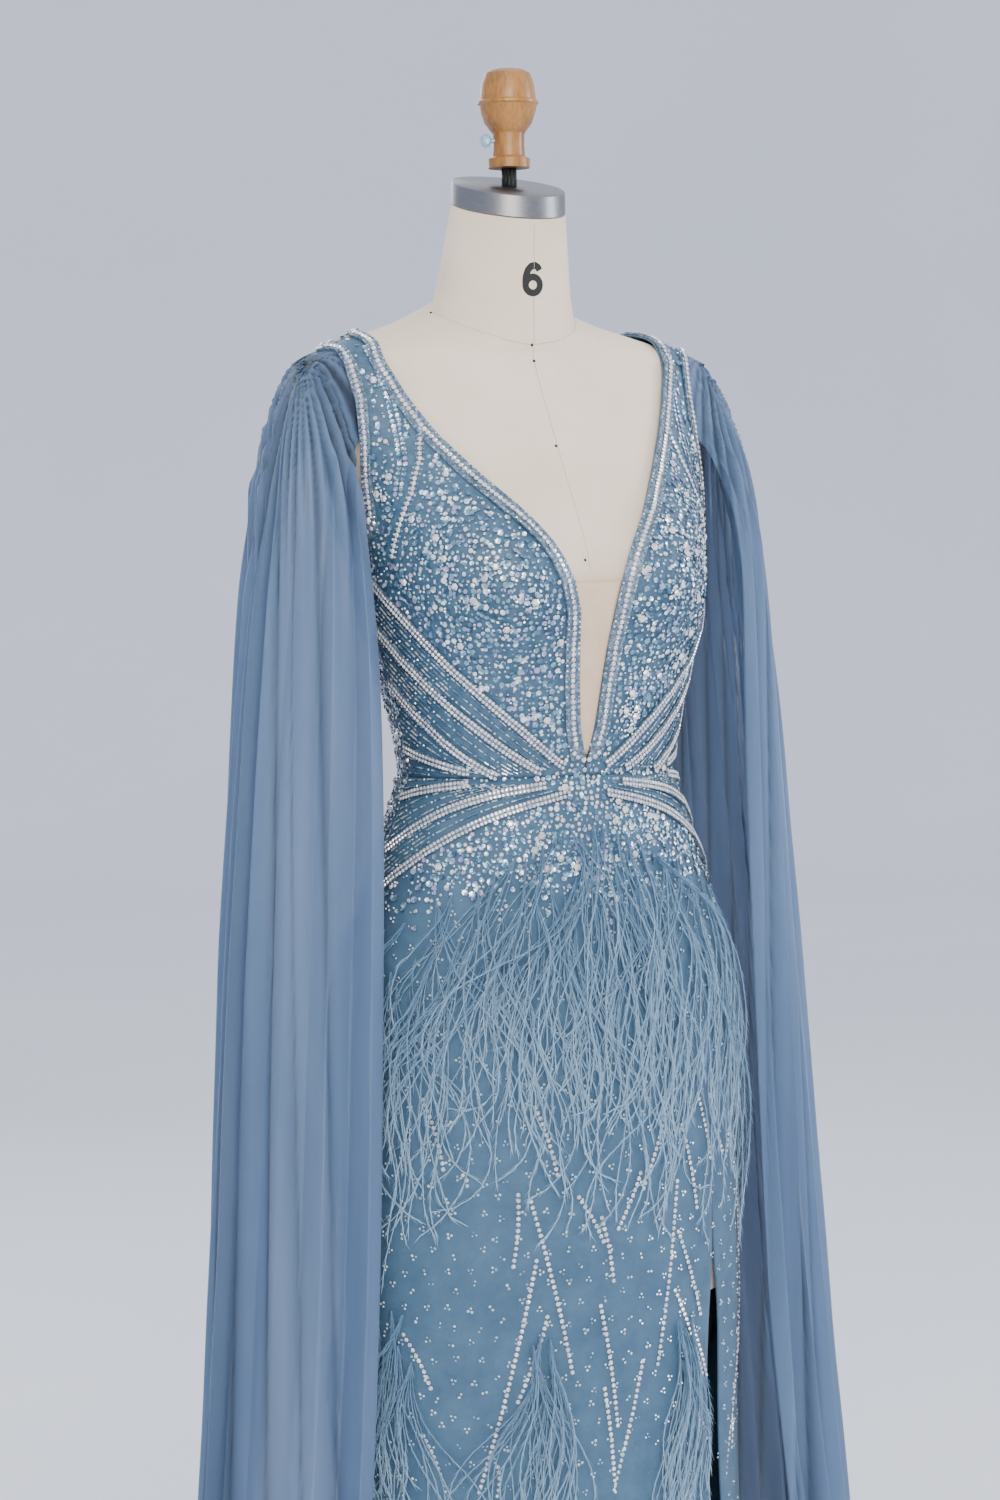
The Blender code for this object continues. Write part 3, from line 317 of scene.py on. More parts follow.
@dataclass(frozen=True)
class Stones(Finish):
    """Cut crystal, sequins or glass bugles: each stone takes its own tint from a cell of its own size."""

    tints: tuple[str, ...] = ()
    cell_mm: float = 4.0
    metallic: float = 0.75
    coat: float = 0.4

    def material(self) -> bpy.types.Material:
        """Builds the stones' shader.

        Returns:
            The material.
        """
        material, tree, shader, places = self.start()
        cells = add_node(tree, "ShaderNodeTexVoronoi", {"Vector": places, "Scale": 1.0 / (self.cell_mm * MM)})
        split = add_node(tree, "ShaderNodeSeparateColor", {0: cells.outputs["Color"]})
        ramp = add_node(tree, "ShaderNodeValToRGB", {0: split.outputs[0]})
        ramp.color_ramp.interpolation = "CONSTANT"
        stops = ramp.color_ramp.elements
        while len(stops) < len(self.tints):
            stops.new(0.5)
        for index, tint in enumerate(self.tints):
            stops[index].position = index / len(self.tints)
            stops[index].color = colour(tint)
        tree.links.new(ramp.outputs[0], shader.inputs["Base Color"])
        gloss = add_node(tree, "ShaderNodeMapRange", {
            VALUE: split.outputs[1], TO_LOW: self.roughness * 0.6, TO_HIGH: self.roughness * 1.8})
        tree.links.new(gloss.outputs[0], shader.inputs["Roughness"])
        shader.inputs["Metallic"].default_value = self.metallic
        shader.inputs["Coat Weight"].default_value = self.coat
        return material


@dataclass(frozen=True)
class Plume(Finish):
    """Dyed ostrich: soft filaments that pale towards their tips."""

    tip: str = "#B7D3DF"
    patches_per_m: float = 90.0

    def material(self) -> bpy.types.Material:
        """Builds the feather's shader.

        Returns:
            The material.
        """
        material, tree, shader, places = self.start()
        along = add_node(tree, "ShaderNodeAttribute", attribute_name="tip")
        strands = add_node(tree, "ShaderNodeTexNoise", {
            "Vector": places, "Scale": self.patches_per_m, "Detail": 2.0})
        root = self.tint(tree, strands.outputs["Fac"])
        whole = add_node(tree, "ShaderNodeMix", {
            MIX_FACTOR: along.outputs["Fac"], MIX_FIRST: root, MIX_SECOND: colour(self.tip)},
            data_type="RGBA")
        tree.links.new(whole.outputs[MIXED], shader.inputs["Base Color"])
        shader.inputs["Sheen Weight"].default_value = 0.12
        shader.inputs["Sheen Roughness"].default_value = 0.35
        return material


@dataclass(frozen=True)
class Metal(Finish):
    """Brushed, enamelled or painted metal with fine streaks that run round or along the piece."""

    metallic: float = 1.0
    streak_mm: float = 0.8
    streak: tuple[float, float, float] = (1.0, 1.0, 30.0)

    def material(self) -> bpy.types.Material:
        """Builds the metal's shader.

        Returns:
            The material.
        """
        material, tree, shader, places = self.start()
        drawn = add_node(tree, "ShaderNodeMapping", {"Vector": places, "Scale": self.streak})
        streaks = add_node(tree, "ShaderNodeTexNoise", {
            "Vector": drawn.outputs[0], "Detail": 3.0, "Scale": 0.05 / (self.streak_mm * MM)})
        tree.links.new(self.tint(tree, streaks.outputs["Fac"]), shader.inputs["Base Color"])
        gloss = add_node(tree, "ShaderNodeMapRange", {
            VALUE: streaks.outputs["Fac"], TO_LOW: self.roughness * 0.7, TO_HIGH: self.roughness * 1.4})
        tree.links.new(gloss.outputs[0], shader.inputs["Roughness"])
        bump = add_node(tree, "ShaderNodeBump", {
            "Height": streaks.outputs["Fac"], "Strength": 0.25, "Distance": 0.05 * MM})
        tree.links.new(bump.outputs[0], shader.inputs["Normal"])
        shader.inputs["Metallic"].default_value = self.metallic
        return material


@dataclass(frozen=True)
class Wood(Finish):
    """Turned beech under clear varnish: long grain with short dark flecks."""

    grain_mm: float = 2.2
    patches_per_m: float = 60.0
    stretch: float = 0.16

    def material(self) -> bpy.types.Material:
        """Builds the wood's shader.

        Returns:
            The material.
        """
        material, tree, shader, places = self.start()
        drawn = add_node(tree, "ShaderNodeMapping", {"Vector": places, "Scale": (1.0, 1.0, self.stretch)})
        grain = add_node(tree, "ShaderNodeTexNoise", {
            "Vector": drawn.outputs[0], "Scale": 1.0 / (self.grain_mm * MM),
            "Detail": 4.0, "Distortion": 0.6})
        broad = add_node(tree, "ShaderNodeTexNoise", {
            "Vector": drawn.outputs[0], "Scale": self.patches_per_m, "Detail": 2.0})
        both = add_node(tree, "ShaderNodeMath", {0: grain.outputs["Fac"], 1: broad.outputs["Fac"]},
                        operation="ADD")
        levels = add_node(tree, "ShaderNodeMapRange", {
            VALUE: both.outputs[0], FROM_LOW: 0.72, FROM_HIGH: 1.25})
        tree.links.new(self.tint(tree, levels.outputs[0]), shader.inputs["Base Color"])
        bump = add_node(tree, "ShaderNodeBump", {
            "Height": grain.outputs["Fac"], "Strength": 0.2, "Distance": 0.08 * MM})
        tree.links.new(bump.outputs[0], shader.inputs["Normal"])
        shader.inputs["Coat Weight"].default_value = 0.2
        shader.inputs["Coat Roughness"].default_value = 0.18
        return material


@dataclass(frozen=True)
class ClearAcrylic(Finish):
    """Moulded acrylic, tinted a little, which lets most of the light through."""

    patches_per_m: float = 220.0

    def material(self) -> bpy.types.Material:
        """Builds the acrylic's shader.

        Returns:
            The material.
        """
        material, tree, shader, places = self.start()
        haze = add_node(tree, "ShaderNodeTexNoise", {"Vector": places, "Scale": self.patches_per_m})
        tree.links.new(self.tint(tree, haze.outputs["Fac"]), shader.inputs["Base Color"])
        shader.inputs["Transmission Weight"].default_value = 0.55
        shader.inputs["IOR"].default_value = 1.49
        return material


# Plain-woven cotton canvas, bleached: matt, with a fine unevenness from its threads
CANVAS = Cloth("cotton canvas", "#EFDDCA", "#E6D2BD", 0.86, patch_mm=90.0, weave_mm=0.7, weave_depth_mm=0.12,
               sheen=0.08, weave_shade=0.04)
# Tulle on a lining, packed with beads: its own colour shows only between them
TULLE = Cloth("beaded tulle on lining", "#496C88", "#2F4F6A", 0.5, patch_mm=7.0, weave_mm=1.1,
              weave_depth_mm=0.5, sheen=0.06)
# Matt crepe: a fine crumpled surface that stays soft in the light
CREPE = Cloth("matt crepe", "#476984", "#395975", 0.74, patch_mm=28.0, weave_mm=1.0, weave_depth_mm=0.3,
              sheen=0.08)
# Silk chiffon: thin enough for light to glow in it, with painted shade in its pleats' valleys and gathers and
# random darker patches where its layers lie over each other
CHIFFON = Cloth("pleated chiffon", "#647EA1", "#526D91", 0.68, patch_mm=70.0, weave_mm=0.9,
                weave_depth_mm=0.12, sheen=0.12, alpha=0.80, stretch=0.12, weave_shade=0.05,
                painted_fold_shade="#172A42", glow=0.55)
# Skin-coloured stretch net in the V: its crossed threads are drawn coarse, so that they show
NET = Cloth("skin-coloured stretch net", "#E3CBB0", "#D9BC9C", 0.62, patch_mm=35.0, weave_mm=1.3,
            weave_depth_mm=0.12, sheen=0.15, crossed=True, weave_shade=0.06)
# The tape and settings under the bands' stones: blue-grey cloth and metal, dull so that the stones stand out
SETTING = Stones("cup-chain setting", "#6E8295", "#45596C", 0.40, cell_mm=2.4, metallic=0.30, coat=0.0,
                 tints=("#6B8094", "#4C6276", "#7D90A2", "#586E82"))
# Clear rhinestones on foil: bright silver, with tints that vary from stone to stone, lilac here and there, as
# painted sparkle
RHINESTONE = Stones("rhinestone", "#EEE9E9", "#C9C6CC", 0.14, cell_mm=3.4, metallic=0.4,
                    tints=("#FBF9F8", "#EBE7EA", "#D8D3DA", "#FFFBF6", "#C2CBD8", "#E2D6E4"))
# Cupped sequins with a rainbow coat: pale and mid blue, with near-white and lilac ones here and there as
# painted glints of the coat
SEQUIN = Stones("iridescent sequin", "#B9D0DE", "#8FA9BC", 0.2, cell_mm=4.6, metallic=0.5,
                tints=("#7FA3BB", "#557A97", "#BFD8E6", "#A9A6D0", "#7498B3", "#F2F6F9", "#436885"))
# Pearly glass seed beads: white to mid blue, softly glossy
SEED_BEAD = Stones("pearly seed bead", "#DCE8EE", "#B5CAD6", 0.22, cell_mm=3.0, metallic=0.35,
                   tints=("#E9F1F5", "#A2C0D2", "#D9E6ED", "#7FA3BA"))
# Silver-lined glass bugles: blue-grey tubes, some of them near-white as a painted glint where the lining
# catches the light
BUGLE = Stones("silver-lined bugle", "#D5D9DF", "#A4B4C2", 0.16, cell_mm=5.0, metallic=0.45,
               tints=("#A9BCCB", "#6F8CA3", "#E9ECEF", "#5A7A94"))
# Dyed ostrich plumes: soft and matt, paler towards their tips
OSTRICH = Plume("dyed ostrich", "#668FB2", "#456E90", 0.6, tip="#A2C3DC")
# Steel sheet brushed round the cap: fine streaks that draw its highlights out
STEEL_CAP = Metal("brushed steel cap", "#9B9B9E", "#626368", 0.36, streak_mm=0.4)
# Satin steel tube and plate: even, with faint streaks
STAND_STEEL = Metal("satin steel", "#A8A8AC", "#8A8A8F", 0.4, streak_mm=1.0, streak=(1.0, 1.0, 4.0))
# Satin black paint on steel: dark, with a soft gloss
BLACK_PAINT = Metal("satin black paint", "#1A1B1E", "#101113", 0.45, metallic=0.0, streak_mm=2.0)
# Near-black matt colour on the lower block, which fills the skirt's slit with black
NEAR_BLACK_BLOCK = Cloth("dull black knit cover", "#17191D", "#0E1013", 0.9, patch_mm=40.0, weave_mm=1.4,
                    sheen=0.05)
# Baked enamel on the zip's slider, dyed to the cloth
ZIP_ENAMEL = Metal("enamelled zip metal", "#8AA3B7", "#6F8BA1", 0.35, metallic=0.4, streak_mm=1.0)
# Beech turned on a lathe, under a thin clear varnish: warm, with its grain along the finial
BEECH = Wood("turned and varnished beech", "#AC7634", "#7B4C1B", 0.42)
# Moulded acrylic knob: pale blue, with bright facets
ACRYLIC = ClearAcrylic("faceted pale acrylic", "#C9E4F0", "#A9D0E2", 0.08)
# Ink printed on the canvas: flat and nearly black
PRINT = Cloth("black printed ink", "#1B1B1C", "#121213", 0.6, patch_mm=20.0, sheen=0.0)
# Cotton thread in the form's seams, a little darker than the canvas
SEAM_THREAD = Cloth("canvas seam thread", "#C9BEB1", "#B8AC9E", 0.85, patch_mm=15.0, sheen=0.0)
# Matt paint on the studio's floor and wall
STUDIO = Cloth("studio wall paint", "#E2E5EC", "#DDE1E9", 0.8, patch_mm=1400.0, weave_mm=8.0, sheen=0.0,
               weave_shade=0.01)


class Held(Enum):
    HUNG = "hung"
    STRETCHED = "stretched"
    GATHERED = "gathered"


# Camera and studio

@dataclass
class PhotoCamera:
    """The camera at the photograph's place, and rays through the photograph's points.

    Its azimuth is in degrees round the figure from the front, and it aims at a point beside the upright line.
    """

    azimuth: float = -27.0
    distance: float = 3.0
    height: float = 1.28
    focal_px: float = 3300.0
    sensor_mm: float = 36.0
    roll: float = -1.0
    aim_height: float = 1.0836
    aim_right: float = -0.0327
    item: bpy.types.Object = field(init=False)

    def build(self) -> bpy.types.Object:
        """Makes the camera.

        Returns:
            The camera.
        """
        turn = math.radians(self.azimuth)
        ahead = Vector((-math.sin(turn), math.cos(turn), 0.0))
        right = Vector((math.cos(turn), math.sin(turn), 0.0))
        middle = Vector((0.0, FIGURE_AXIS_Y, self.height))
        eye = middle - ahead * self.distance
        target = Vector((0.0, FIGURE_AXIS_Y, self.aim_height)) + right * self.aim_right
        look = (target - eye).to_track_quat("-Z", "Y").to_matrix()
        self.item = new_object("photo_camera", bpy.data.cameras.new("photo_camera"))
        self.item.location = eye
        self.item.rotation_euler = (look @ Matrix.Rotation(math.radians(self.roll), 3, "Z")).to_euler()
        self.item.data.sensor_width = self.sensor_mm
        self.item.data.lens = self.focal_px / PHOTO_HEIGHT * self.sensor_mm
        bpy.context.scene.camera = self.item
        return self.item

    def ray(self, x: float, y: float) -> tuple[Vector, Vector]:
        """The line of sight through a point of the photograph.

        Args:
            x: Pixels from the photograph's left edge.
            y: Pixels from its top edge.

        Returns:
            The camera's place and the direction of sight.
        """
        turn = self.item.rotation_euler.to_matrix()
        right, up = x - PHOTO_WIDTH / 2.0, PHOTO_HEIGHT / 2.0 - y
        local = Vector((right / self.focal_px, up / self.focal_px, -1.0))
        return self.item.location.copy(), (turn @ local).normalized()


@dataclass(frozen=True)
class Lamp:
    """One wide square lamp: where it stands and its side in metres, its power in watts and its tint."""

    name: str
    place: tuple[float, float, float]
    side: float
    power: float
    tint: str

    def build(self, target: Vector) -> None:
        """Adds the lamp to the scene.

        Args:
            target: The point that it faces.
        """
        data = bpy.data.lights.new(self.name, "AREA")
        data.size = self.side
        data.energy = self.power
        data.color = colour(self.tint)[:3]
        item = new_object(self.name, data)
        item.location = self.place
        item.rotation_euler = (target - Vector(self.place)).to_track_quat("-Z", "Y").to_euler()


@dataclass
class Studio:
    """A plain pale floor that sweeps up into a round wall, and soft light from wide lamps, in metres."""

    floor_reach: float = 8.5
    sweep_radius: float = 2.5
    sweep_steps: int = 12
    wall_top: float = 8.0
    sides: int = 64
    wall_colour: str = "#DEE2E9"
    sky_strength: float = 1.8
    lit_height: float = 1.1
    lamps: tuple[Lamp, ...] = (
        Lamp("window_lamp", (-1.3, -3.4, 2.6), 2.0, 140.0, "#FFF6E8"),
        Lamp("side_lamp", (3.2, -1.2, 2.3), 1.2, 60.0, "#F4F9FF"),
        Lamp("back_lamp", (0.2, 3.3, 2.6), 1.6, 34.0, "#FFFFFF"),
    )

    def build(self) -> None:
        """Makes the floor and wall, the sky and the lamps."""
        self.sweep()
        world = bpy.data.worlds.new("studio")
        world.use_nodes = True
        background = world.node_tree.nodes["Background"]
        background.inputs["Color"].default_value = colour(self.wall_colour)
        background.inputs["Strength"].default_value = self.sky_strength
        bpy.context.scene.world = world
        for lamp in self.lamps:
            lamp.build(UP * self.lit_height)

    def sweep(self) -> None:
        """Makes the floor and the wall as one smooth sheet, which isn't part of the object."""
        rings = [(self.floor_reach, 0.0)]
        for k in range(1, self.sweep_steps + 1):
            turn = 0.5 * math.pi * k / self.sweep_steps
            rings.append((self.floor_reach + self.sweep_radius * math.sin(turn),
                          self.sweep_radius * (1.0 - math.cos(turn))))
        rings.append((self.floor_reach + self.sweep_radius, self.wall_top))
        points = [(0.0, 0.0, 0.0)]
        for radius, height in rings:
            points += [(radius * math.cos(t), radius * math.sin(t), height) for t in turns_of(self.sides)]
        faces = [(0, 1 + k, 1 + (k + 1) % self.sides) for k in range(self.sides)]
        for ring in range(len(rings) - 1):
            base = 1 + ring * self.sides
            for k in range(self.sides):
                j = (k + 1) % self.sides
                faces.append((base + k, base + self.sides + k, base + self.sides + j, base + j))
        mesh = bpy.data.meshes.new("studio_sweep")
        mesh.from_pydata(points, [], faces)
        mesh.shade_smooth()
        mesh.materials.append(STUDIO.material())
        new_object("studio_sweep", mesh)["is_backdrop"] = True


# Surfaces of the frame

@dataclass(frozen=True)
class Spot:
    """A place on a surface with the surface's outward direction there."""

    point: Vector
    normal: Vector

    def out(self, distance: float) -> Vector:
        """The point that far off the surface."""
        return self.point + self.normal * distance


class Ground:
    """The outer surface of some frame nodes, on which beads, bands and feathers are laid."""

    FAR_OUT = 0.6
    JUST_OUT = 0.03
    DEPTH = 0.07

    def __init__(self, names: Iterable[str]) -> None:
        """Gathers the nodes' triangles.

        Args:
            names: The frame nodes' names.
        """
        points: list[Vector] = []
        faces: list[list[int]] = []
        for name in names:
            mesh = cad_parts[name].data
            base = len(points)
            points += [vertex.co.copy() for vertex in mesh.vertices]
            faces += [[base + index for index in face.vertices] for face in mesh.polygons]
        self.tree = BVHTree.FromPolygons(points, faces)

    def around(self, angle: float, height: float, axis_y: float = FIGURE_AXIS_Y) -> Optional[Spot]:
        """The outermost place at an angle round an upright line: 0 in front, 90 at the wearer's left.

        Args:
            angle: Degrees from the front.
            height: Metres above the floor.
            axis_y: Where the upright line stands, from front to back.

        Returns:
            The place, or None where the nodes leave a gap.
        """
        turn = math.radians(angle)
        away = Vector((math.sin(turn), -math.cos(turn), 0.0))
        start = Vector((0.0, axis_y, height)) + away * self.FAR_OUT
        return self.along(start, -away, self.FAR_OUT)

    def under(self, point: Vector) -> Optional[Spot]:
        """The place on the surface straight in from a point near it, towards the figure's middle line."""
        away = outward(point)
        return self.along(point + away * self.JUST_OUT, -away, self.DEPTH)

    def along(self, start: Vector, direction: Vector, reach: float = 10.0) -> Optional[Spot]:
        """The first place that a ray meets.

        Args:
            start: Where the ray starts.
            direction: The way it goes.
            reach: How far it goes, in metres.

        Returns:
            The place, with its normal towards the ray's start, or None where it meets nothing.
        """
        point, normal, _, _ = self.tree.ray_cast(start, direction, reach)
        if point is None:
            return None
        return Spot(point, normal if normal.dot(direction) < 0.0 else -normal)


def angle_of(point: Vector) -> float:
    """Degrees round the figure from the front to a point."""
    return math.degrees(math.atan2(point.x, -(point.y - FIGURE_AXIS_Y)))


# Beads

class Bead(Enum):
    """The shapes of bead that are sewn on."""

    RHINESTONE = "rhinestone"
    SEQUIN = "sequin"
    ROUND = "round"
    BUGLE = "bugle"


@dataclass
class BeadShapes:
    """One small mesh for each shape of bead, 1 m across so that its scale is its size."""

    bugle_sides: int = 5
    bugle_radius: float = 0.15
    items: dict[Bead, bpy.types.Object] = field(default_factory=dict)

    def build(self) -> None:
        """Makes every bead's mesh."""
        self.turned(Bead.RHINESTONE, ((0.0, -0.15), (0.5, 0.06), (0.27, 0.30), (0.0, 0.30)), 6)
        self.turned(Bead.SEQUIN, ((0.0, -0.06), (0.5, 0.10), (0.0, 0.03)), 6)
        self.turned(Bead.ROUND, ((0.0, -0.40), (0.5, 0.0), (0.0, 0.40)), 5)
        self.bugle()

    def turned(self, kind: Bead, profile: Sequence[tuple[float, float]], sides: int) -> None:
        """Turns a profile round the bead's own Z axis.

        Args:
            kind: The bead's shape.
            profile: Radius and height from the underside's middle to the top's middle.
            sides: How many facets go round.
        """
        bm = bmesh.new()
        low = bm.verts.new((0.0, 0.0, profile[0][1]))
        high = bm.verts.new((0.0, 0.0, profile[-1][1]))
        rings = []
        for radius, height in profile[1:-1]:
            rings.append([bm.verts.new((radius * math.cos(t), radius * math.sin(t), height))
                          for t in turns_of(sides)])
        for k in range(sides):
            j = (k + 1) % sides
            bm.faces.new((low, rings[0][j], rings[0][k]))
            for under, over in zip(rings, rings[1:]):
                bm.faces.new((under[k], under[j], over[j], over[k]))
            bm.faces.new((rings[-1][k], rings[-1][j], high))
        self.finish(kind, bm)

    def bugle(self) -> None:
        """Makes a glass tube that lies along the bead's own X axis."""
        bm = bmesh.new()
        ends = []
        for x in (-0.5, 0.5):
            ends.append([bm.verts.new((x, self.bugle_radius * math.cos(t), self.bugle_radius * math.sin(t)))
                         for t in turns_of(self.bugle_sides)])
        for k in range(self.bugle_sides):
            j = (k + 1) % self.bugle_sides
            bm.faces.new((ends[0][k], ends[0][j], ends[1][j], ends[1][k]))
        bm.faces.new(ends[0][::-1])
        bm.faces.new(ends[1])
        self.finish(Bead.BUGLE, bm)

    def finish(self, kind: Bead, bm: bmesh.types.BMesh) -> None:
        """Stores the finished bead outside the scene.

        Args:
            kind: The bead's shape.
            bm: Its mesh, which this frees.
        """
        bmesh.ops.recalc_face_normals(bm, faces=bm.faces)
        mesh = bpy.data.meshes.new(f"bead_{kind.value}")
        bm.to_mesh(mesh)
        bm.free()
        self.items[kind] = bpy.data.objects.new(f"bead_{kind.value}", mesh)

    def clear(self) -> None:
        """Removes the patterns once every bead is in place."""
        for item in self.items.values():
            bpy.data.objects.remove(item)


@dataclass
class BeadWork:
    """Places for beads of one shape, and the node tree that sets them."""

    kind: Bead
    finish: Finish
    points: list[Vector] = field(default_factory=list)
    aims: list[Vector] = field(default_factory=list)
    alongs: list[Vector] = field(default_factory=list)
    sizes: list[float] = field(default_factory=list)

    def add(self, point: Vector, aim: Vector, along: Vector, size: float) -> None:
        """Adds one bead.

        Args:
            point: Its middle.
            aim: The way its top faces.
            along: The way its length lies.
            size: Its width or length in metres.
        """
        self.points.append(point)
        self.aims.append(aim)
        self.alongs.append(along)
        self.sizes.append(size)

    def sew(self, name: str, shapes: BeadShapes, jitter: float = 0.12,
            slot: str = "stone_band") -> bpy.types.Object:
        """Sets every bead and keeps them as one plain piece.

        Args:
            name: The piece's name.
            shapes: The beads' patterns.
            jitter: How much the sizes vary, as a share.
            slot: The record's material slot; not used.

        Returns:
            The piece.
        """
        mesh = bpy.data.meshes.new(name)
        mesh.from_pydata([tuple(point) for point in self.points], [], [])
        for label, values in (("aim", self.aims), ("along", self.alongs)):
            layer = mesh.attributes.new(label, "FLOAT_VECTOR", "POINT")
            layer.data.foreach_set("vector", [part for value in values for part in value])
        layer = mesh.attributes.new("girth", "FLOAT", "POINT")
        layer.data.foreach_set("value", self.sizes)
        item = new_object(f"{name}_places", mesh)
        set_inputs(item, bead_tree(), {"Bead": shapes.items[self.kind], "Material": self.finish.material(),
                                       "Jitter": jitter, "Seed": SEED})
        return keep(baked(item, name))


def set_inputs(item: bpy.types.Object, tree: bpy.types.NodeTree, values: dict[str, object]) -> None:
    """Puts a geometry tree on an object with its named inputs set by identifier.

    Args:
        item: The object.
        tree: The tree.
        values: Each input's value by the input's name.
    """
    modifier = item.modifiers.new(tree.name, "NODES")
    modifier.node_group = tree
    for socket in tree.interface.items_tree:
        if socket.item_type == "SOCKET" and socket.in_out == "INPUT" and socket.name in values:
            modifier[socket.identifier] = values[socket.name]


def new_tree(name: str, inputs: Sequence[tuple[str, str]]) -> bpy.types.NodeTree:
    """Starts a geometry tree with named inputs.

    Args:
        name: The tree's name.
        inputs: Pairs of an input's name and its socket type.

    Returns:
        The tree, with no nodes yet.
    """
    tree = bpy.data.node_groups.new(name, "GeometryNodeTree")
    tree.interface.new_socket("Geometry", in_out="OUTPUT", socket_type="NodeSocketGeometry")
    tree.interface.new_socket("Geometry", in_out="INPUT", socket_type="NodeSocketGeometry")
    for label, kind in inputs:
        tree.interface.new_socket(label, in_out="INPUT", socket_type=kind)
    return tree


def close_tree(tree: bpy.types.NodeTree, geometry: bpy.types.NodeSocket,
               material: bpy.types.NodeSocket) -> None:
    """Ends a geometry tree in Realize Instances and Set Material.

    Args:
        tree: The tree.
        geometry: The socket of what it makes.
        material: The socket of its material.
    """
    real = add_node(tree, "GeometryNodeRealizeInstances", {"Geometry": geometry})
    dressed = add_node(tree, "GeometryNodeSetMaterial", {"Geometry": real.outputs[0], "Material": material})
    add_node(tree, "NodeGroupOutput", {0: dressed.outputs[0]})


def bead_tree() -> bpy.types.NodeTree:
    """Makes the tree that sets a bead on each point, facing its aim and turned along its row.

    Returns:
        The tree, the same one at every call.
    """
    made = bpy.data.node_groups.get("set_beads")
    if made:
        return made
    tree = new_tree("set_beads", (("Bead", "NodeSocketObject"), ("Material", "NodeSocketMaterial"),
                                  ("Jitter", "NodeSocketFloat"), ("Seed", "NodeSocketInt")))
    start = add_node(tree, "NodeGroupInput")
    aim = add_node(tree, "GeometryNodeInputNamedAttribute", {"Name": "aim"}, data_type="FLOAT_VECTOR")
    along = add_node(tree, "GeometryNodeInputNamedAttribute", {"Name": "along"}, data_type="FLOAT_VECTOR")
    girth = add_node(tree, "GeometryNodeInputNamedAttribute", {"Name": "girth"}, data_type="FLOAT")
    upright = add_node(tree, "FunctionNodeAlignRotationToVector", {"Vector": aim.outputs[0]}, axis="Z")
    turned = add_node(tree, "FunctionNodeAlignRotationToVector", {
        "Rotation": upright.outputs[0], "Vector": along.outputs[0]}, axis="X", pivot_axis="Z")
    less = add_node(tree, "ShaderNodeMath", {0: 1.0, 1: start.outputs["Jitter"]}, operation="SUBTRACT")
    chance = add_node(tree, "FunctionNodeRandomValue", {
        DRAW_LOW: less.outputs[0], DRAW_HIGH: 1.0, "Seed": start.outputs["Seed"]})
    scale = add_node(tree, "ShaderNodeMath", {0: girth.outputs[0], 1: chance.outputs[DRAWN]},
                     operation="MULTIPLY")
    pattern = add_node(tree, "GeometryNodeObjectInfo", {"Object": start.outputs["Bead"]})
    beads = add_node(tree, "GeometryNodeInstanceOnPoints", {
        "Points": start.outputs["Geometry"], "Instance": pattern.outputs["Geometry"],
        "Rotation": turned.outputs[0], "Scale": scale.outputs[0]})
    close_tree(tree, beads.outputs[0], start.outputs["Material"])
    return tree


def plume_tree() -> bpy.types.NodeTree:
    """Makes the tree that gives each strand a tapering three-sided shaft and barbs all along it.

    Returns:
        The tree, the same one at every call.
    """
    made = bpy.data.node_groups.get("feather_strands")
    if made:
        return made
    tree = new_tree("feather_strands", (
        ("Barb", "NodeSocketObject"), ("Material", "NodeSocketMaterial"), ("Shaft Radius", "NodeSocketFloat"),
        ("Barb Pitch", "NodeSocketFloat"), ("Barb Length", "NodeSocketFloat"), ("Seed", "NodeSocketInt")))
    start = add_node(tree, "NodeGroupInput")
    along = add_node(tree, "GeometryNodeSplineParameter")
    marked = add_node(tree, "GeometryNodeStoreNamedAttribute", {
        "Geometry": start.outputs["Geometry"], "Name": "tip", "Value": along.outputs["Factor"]},
        data_type="FLOAT", domain="POINT")
    taper = add_node(tree, "ShaderNodeMapRange", {VALUE: along.outputs["Factor"], TO_LOW: 1.0, TO_HIGH: 0.22})
    thin = add_node(tree, "GeometryNodeSetCurveRadius", {
        "Curve": marked.outputs[0], "Radius": taper.outputs[0]})
    section = add_node(tree, "GeometryNodeCurvePrimitiveCircle", {
        "Resolution": 3, "Radius": start.outputs["Shaft Radius"]})
    shaft = add_node(tree, "GeometryNodeCurveToMesh", {
        "Curve": thin.outputs[0], "Profile Curve": section.outputs[0], "Fill Caps": True})
    roots = add_node(tree, "GeometryNodeCurveToPoints", {
        "Curve": marked.outputs[0], "Length": start.outputs["Barb Pitch"]}, mode="LENGTH")
    spin = add_node(tree, "FunctionNodeRandomValue", {
        DRAW_LOW: 0.0, DRAW_HIGH: math.tau, "Seed": start.outputs["Seed"]})
    turn = add_node(tree, "FunctionNodeAxisAngleToRotation", {
        "Axis": (0.0, 0.0, 1.0), "Angle": spin.outputs[DRAWN]})
    facing = add_node(tree, "FunctionNodeRotateRotation", {
        "Rotation": roots.outputs["Rotation"], "Rotate By": turn.outputs[0]}, rotation_space="LOCAL")
    size = add_node(tree, "FunctionNodeRandomValue", {
        DRAW_LOW: 0.55, DRAW_HIGH: 1.1, "Seed": start.outputs["Seed"]})
    length = add_node(tree, "ShaderNodeMath", {0: size.outputs[DRAWN], 1: start.outputs["Barb Length"]},
                      operation="MULTIPLY")
    pattern = add_node(tree, "GeometryNodeObjectInfo", {"Object": start.outputs["Barb"]})
    barbs = add_node(tree, "GeometryNodeInstanceOnPoints", {
        "Points": roots.outputs["Points"], "Instance": pattern.outputs["Geometry"],
        "Rotation": facing.outputs[0], "Scale": length.outputs[0]})
    both = add_node(tree, "GeometryNodeJoinGeometry", {0: shaft.outputs[0]})
    tree.links.new(barbs.outputs[0], both.inputs[0])
    close_tree(tree, both.outputs[0], start.outputs["Material"])
    return tree


# Cloth

